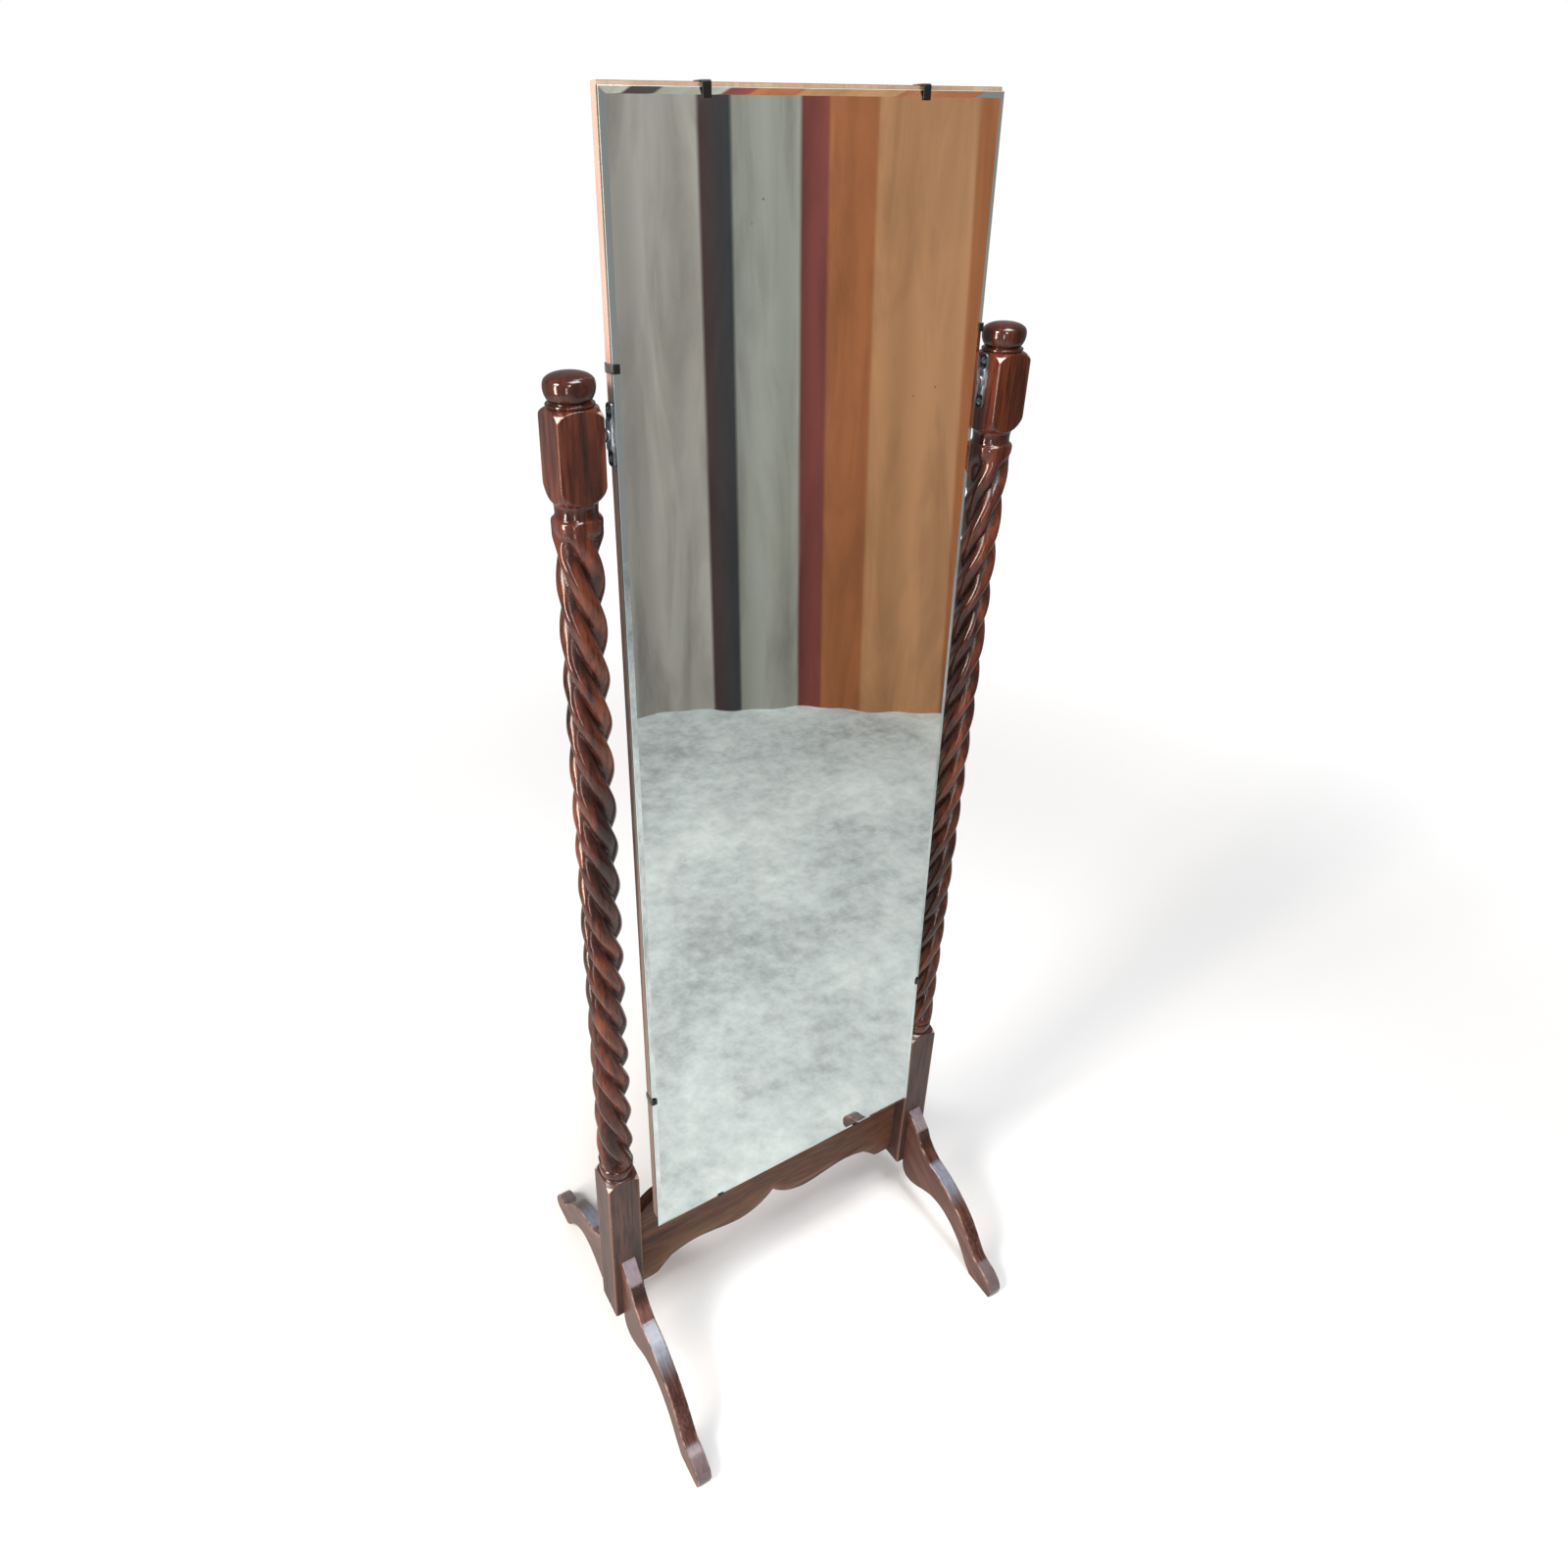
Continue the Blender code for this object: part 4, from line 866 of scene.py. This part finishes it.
def clip(name, way, edge, spot, lap):
    """The strip's section carried along a line that laps the front, rounds the edge and
    runs down the back, in the plane square to the edge it holds."""
    front = BOARD_FACE - GLASS_THICK - 2 * SLACK - CLIP_THICK / 2
    back = BOARD_REAR + SLACK + CLIP_THICK / 2
    outer = -SLACK - CLIP_THICK / 2
    low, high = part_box(name)
    leaf = {"left": high.x - edge[0], "right": edge[0] - low.x}.get(way, 0.0180)
    if way == "bottom":
        leaf = 0.0180 + BOARD_LOW - GLASS_LOW
    leaf = min(leaf, 0.0320)
    path = bent_line([(lap, front), (outer, front), (outer, back), (leaf - 0.0004, back)], 0.0020)
    ahead = np.gradient(path, axis=0)
    ahead /= np.linalg.norm(ahead, axis=1)[:, None]
    normal = np.stack([ahead[:, 1], -ahead[:, 0]], axis=-1)
    ring = strip_ring(CLIP_WIDE, CLIP_THICK)
    place = path[:, None, :] + normal[:, None, :] * ring[None, :, 1:]
    width = np.broadcast_to(ring[None, :, 0], place.shape[:2])
    inward, through = place[..., 0], place[..., 1]
    turn = math.radians(TURN_OF[way])
    x = edge[0] + inward * math.cos(turn) - width * math.sin(turn)
    z = edge[1] + inward * math.sin(turn) + width * math.cos(turn)
    local = np.stack([x, through, z], axis=-1)
    tab = step_up(-through, 0.0080, 0.0100)
    made = skin(name + "_strip", lean(local), {"tab": tab}, 35.0)
    made.data.materials.append(black_steel)
    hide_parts(name)
    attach(made, "mirror_panel")
    seat = (spot[0], BOARD_REAR + CLIP_THICK + 2 * SLACK, spot[1])
    screw_head(name + "_screw", seat, (0.0, 1.0, 0.0), 0.0030, 0.0016, black_steel,
               25.0 + 140 * spot[1], True)


def screw_head(name, seat, out, radius, rise, finish, cant, panel):
    """A slotted head: rings of a dome, whose height is a parabola of the distance from the
    middle, pressed down to the slot's floor inside a narrow straight band."""
    around = np.arange(48)[None, :] * 2 * np.pi / 48
    share = np.hstack([1.0, 1.0, 0.97, np.arange(9, 0, -1) / 10, 0.01])
    reach = radius * share[:, None]
    dome = rise * (1 - (reach / radius) ** 2) + 0.0002
    dome[0], dome[1] = 0.0, 0.00018
    turn = around + math.radians(cant)
    local_x, local_y = reach * np.cos(around), reach * np.sin(around)
    slot_half = radius * 0.13
    in_slot = 1 - step_up(np.abs(local_y), slot_half * 0.75, slot_half * 1.35)
    deep = np.minimum(dome, rise * 0.25 + 0.0002)
    level = dome * (1 - in_slot) + deep * in_slot
    level[0] = 0.0
    out = np.array(out, float)
    side = np.cross(out, (0.0, 0.0, 1.0))
    over = np.cross(out, side)
    points = (np.array(seat, float) + (reach * np.cos(turn))[..., None] * side
              + (reach * np.sin(turn))[..., None] * over + level[..., None] * out)
    marks = {"tab": in_slot + 0 * local_x}
    made = skin(name + "_head", lean(points) if panel else points, marks, 50.0)
    made.data.materials.append(finish)
    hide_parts(name)
    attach(made, "mirror_panel" if panel else "stand")


def blackened(name, dark, bright, metallic, rough, lap):
    """Darkened steel: cloudy colour, fine scratches, a little rust brown in patches, and the
    lap colour where the piece is marked as a tab, a slot or an ear; on the plates' recessed
    ears it is painted shade."""
    mat, tree, shader = finish_material(name)
    where = node(tree, "TexCoord").outputs["Object"]
    cloud = noise(tree, where, 240.0, 5.0, rough=0.65)
    tone = ramp(tree, cloud, (0.32, dark), (0.60, bright), (0.85, tuple(1.5 * c for c in bright)))
    rust = noise(tree, where, 95.0, 4.0)
    brown = ramp(tree, rust, (0.58, (0.0, 0.0, 0.0)), (0.74, (1.0, 1.0, 1.0)))
    tone = mixed(tree, maths(tree, "MULTIPLY", brown, 0.55), tone, (0.085, 0.040, 0.022))
    tone = mixed(tree, mark(tree, "tab")["Fac"], tone, lap)
    tree.links.new(tone, shader.inputs["Base Color"])
    shader.inputs["Metallic"].default_value = metallic
    spread = node(tree, "MapRange", Value=cloud, To_Min=rough - 0.10,
                  To_Max=rough + 0.16).outputs["Result"]
    tree.links.new(spread, shader.inputs["Roughness"])
    bump = node(tree, "Bump", Strength=0.25, Distance=0.0003, Height=cloud)
    tree.links.new(bump.outputs["Normal"], shader.inputs["Normal"])
    return mat


black_steel = blackened("black_steel", (0.110, 0.096, 0.084), (0.300, 0.262, 0.232), 0.80, 0.32,
                        (0.030, 0.031, 0.034))
CLIP_OUT = 0.115             # top and bottom clips, out from the middle
SCREW_IN = 0.011             # a clip's screw, in from the board's edge
for hand, sign in (("left", -1), ("right", 1)):
    out, side = sign * CLIP_OUT, GLASS_WIDE / 2
    clip("clip_top_" + hand, "top", (out, BOARD_HIGH), (out, BOARD_HIGH - SCREW_IN), 0.0122)
    clip("clip_bottom_" + hand, "bottom", (out, GLASS_LOW), (out, BOARD_LOW + SCREW_IN), 0.0045)
    for level, tall in (("high", 0.0575), ("low", -0.8275)):
        clip("clip_%s_%s" % (hand, level), hand, (sign * side, tall),
             (sign * (side - SCREW_IN), tall), 0.0062)


# ---- swing fittings -----------------------------------------------------
# A pair of cast plates faces each other on each side, one screwed to the
# upright and one to the board's edge.  Their barrels meet over a fibre washer
# and turn on a steel stud.
PLATE_WIDE, PLATE_HIGH, PLATE_THICK = 0.0134, 0.0580, 0.0024
PLATE_SCREW = 0.0215         # screws above and below the pivot line
SCREW_SINK = 0.0004          # screw heads let into the plate's face
BARREL = 0.0062


def cast_plate(name, seat, toward, reach, panel):
    """Rings from the plate's rim to its middle, each a slimmer round-ended bar.  The face
    climbs from a rolled rim to a half-round body along the middle, its height the square
    root of one less the square of the distance across; a round barrel stands on it."""
    around = np.linspace(0.0, 2 * np.pi, 96, endpoint=False)[None, :]
    share = np.array([1.0, 1.0, 0.97, 0.92, 0.86, 0.80, 0.72, 0.62, 0.50, 0.38, 0.26, 0.14,
                      0.04])[:, None]
    half = PLATE_WIDE / 2
    straight = PLATE_HIGH / 2 - half
    across = share * half * np.sign(np.cos(around)) * np.abs(np.cos(around)) ** 0.9
    tall = share * half * np.sin(around) + straight * np.clip(1.6 * np.sin(around), -1, 1)
    pinch = 1 - 0.16 * np.exp(-((np.abs(tall) - 0.0128) / 0.0035) ** 2)
    across = across * pinch
    rim = 0.0011 * np.exp(-((share - 0.88) / 0.09) ** 2) * step_up(np.abs(tall), 0.0140, 0.0160)
    body = 0.0036 * np.sqrt(np.maximum(1 - (across / (half * 0.90)) ** 2, 0.0))
    body = body * (1 - step_up(np.abs(tall), 0.0128, 0.0142))
    level = PLATE_THICK - 0.0004 + rim + body
    level[0] = 0.0
    level[1] = PLATE_THICK - 0.0006
    local = np.stack([seat + toward * level, across - (0.0010 if panel else 0.0), tall], axis=-1)
    base = lean(local) if panel else local + (0.0, 0.0, PIVOT[2])
    # The recessed ears inside the rolled rim take the dark lap colour: painted shade.
    shaded_ear = step_up(np.abs(tall), 0.0136, 0.0150) * (1 - 0.5 * step_up(share, 0.90, 0.98))
    plate = skin(name + "_cast", base, {"tab": shaded_ear + 0 * across}, 38.0)
    turn = np.linspace(0.0, 2 * np.pi, 48, endpoint=False)[None, :]
    line = np.array([(BARREL, PLATE_THICK * 0.5), (BARREL, reach - 0.0006),
                     (BARREL - 0.0002, reach - 0.0002), (BARREL - 0.0006, reach)])
    barrel = np.stack([seat + toward * line[:, 1:] + 0 * turn, line[:, :1] * np.cos(turn),
                       line[:, :1] * np.sin(turn)], axis=-1)
    drum = lean(barrel) if panel else barrel + (0.0, 0.0, PIVOT[2])
    boss = skin(name + "_barrel", drum, {"tab": 0 * turn + 0 * line[:, :1]}, 38.0)
    for made in (plate, boss):
        made.data.materials.append(grey_steel)
        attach(made, "mirror_panel" if panel else "stand")
    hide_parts(name)


grey_steel = blackened("grey_steel", (0.260, 0.285, 0.310), (0.400, 0.440, 0.480), 0.75, 0.30,
                       (0.034, 0.031, 0.030))
washer_fibre = flecked("washer_fibre", 1500.0, 3.0, (0.3, (0.055, 0.020, 0.014)),
                       (0.7, (0.120, 0.045, 0.030)), 0.8)

for hand, sign in (("left", -1), ("right", 1)):
    post_low, post_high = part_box(hand + "_upright_plate")
    post_seat = max(abs(post_low.x), abs(post_high.x))
    post_reach = abs(post_high.x - post_low.x)
    cast_plate(hand + "_upright_plate", sign * post_seat, -sign, post_reach, False)
    edge_low, edge_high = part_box(hand + "_board_plate")
    edge_seat = min(abs(edge_low.x), abs(edge_high.x))
    edge_reach = abs(edge_high.x - edge_low.x)
    cast_plate(hand + "_board_plate", sign * edge_seat, sign, edge_reach, True)
    proud = sign * (PLATE_THICK - SCREW_SINK)
    for level, way in (("high", 1), ("low", -1)):
        spot = (sign * post_seat - proud, 0.0, PIVOT[2] + way * PLATE_SCREW)
        screw_head("%s_upright_screw_%s" % (hand, level), spot, (-sign, 0.0, 0.0), 0.0036, 0.0011,
                   grey_steel, 35.0 * way + 20, False)
        spot = (sign * edge_seat + proud, 0.0, way * PLATE_SCREW)
        screw_head("%s_board_screw_%s" % (hand, level), spot, (sign, 0.0, 0.0), 0.0036, 0.0011,
                   grey_steel, 55.0 * way, True)
    for title, finish in (("_pivot_stud", grey_steel), ("_friction_washer", washer_fibre)):
        dress(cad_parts[hand + title], finish)
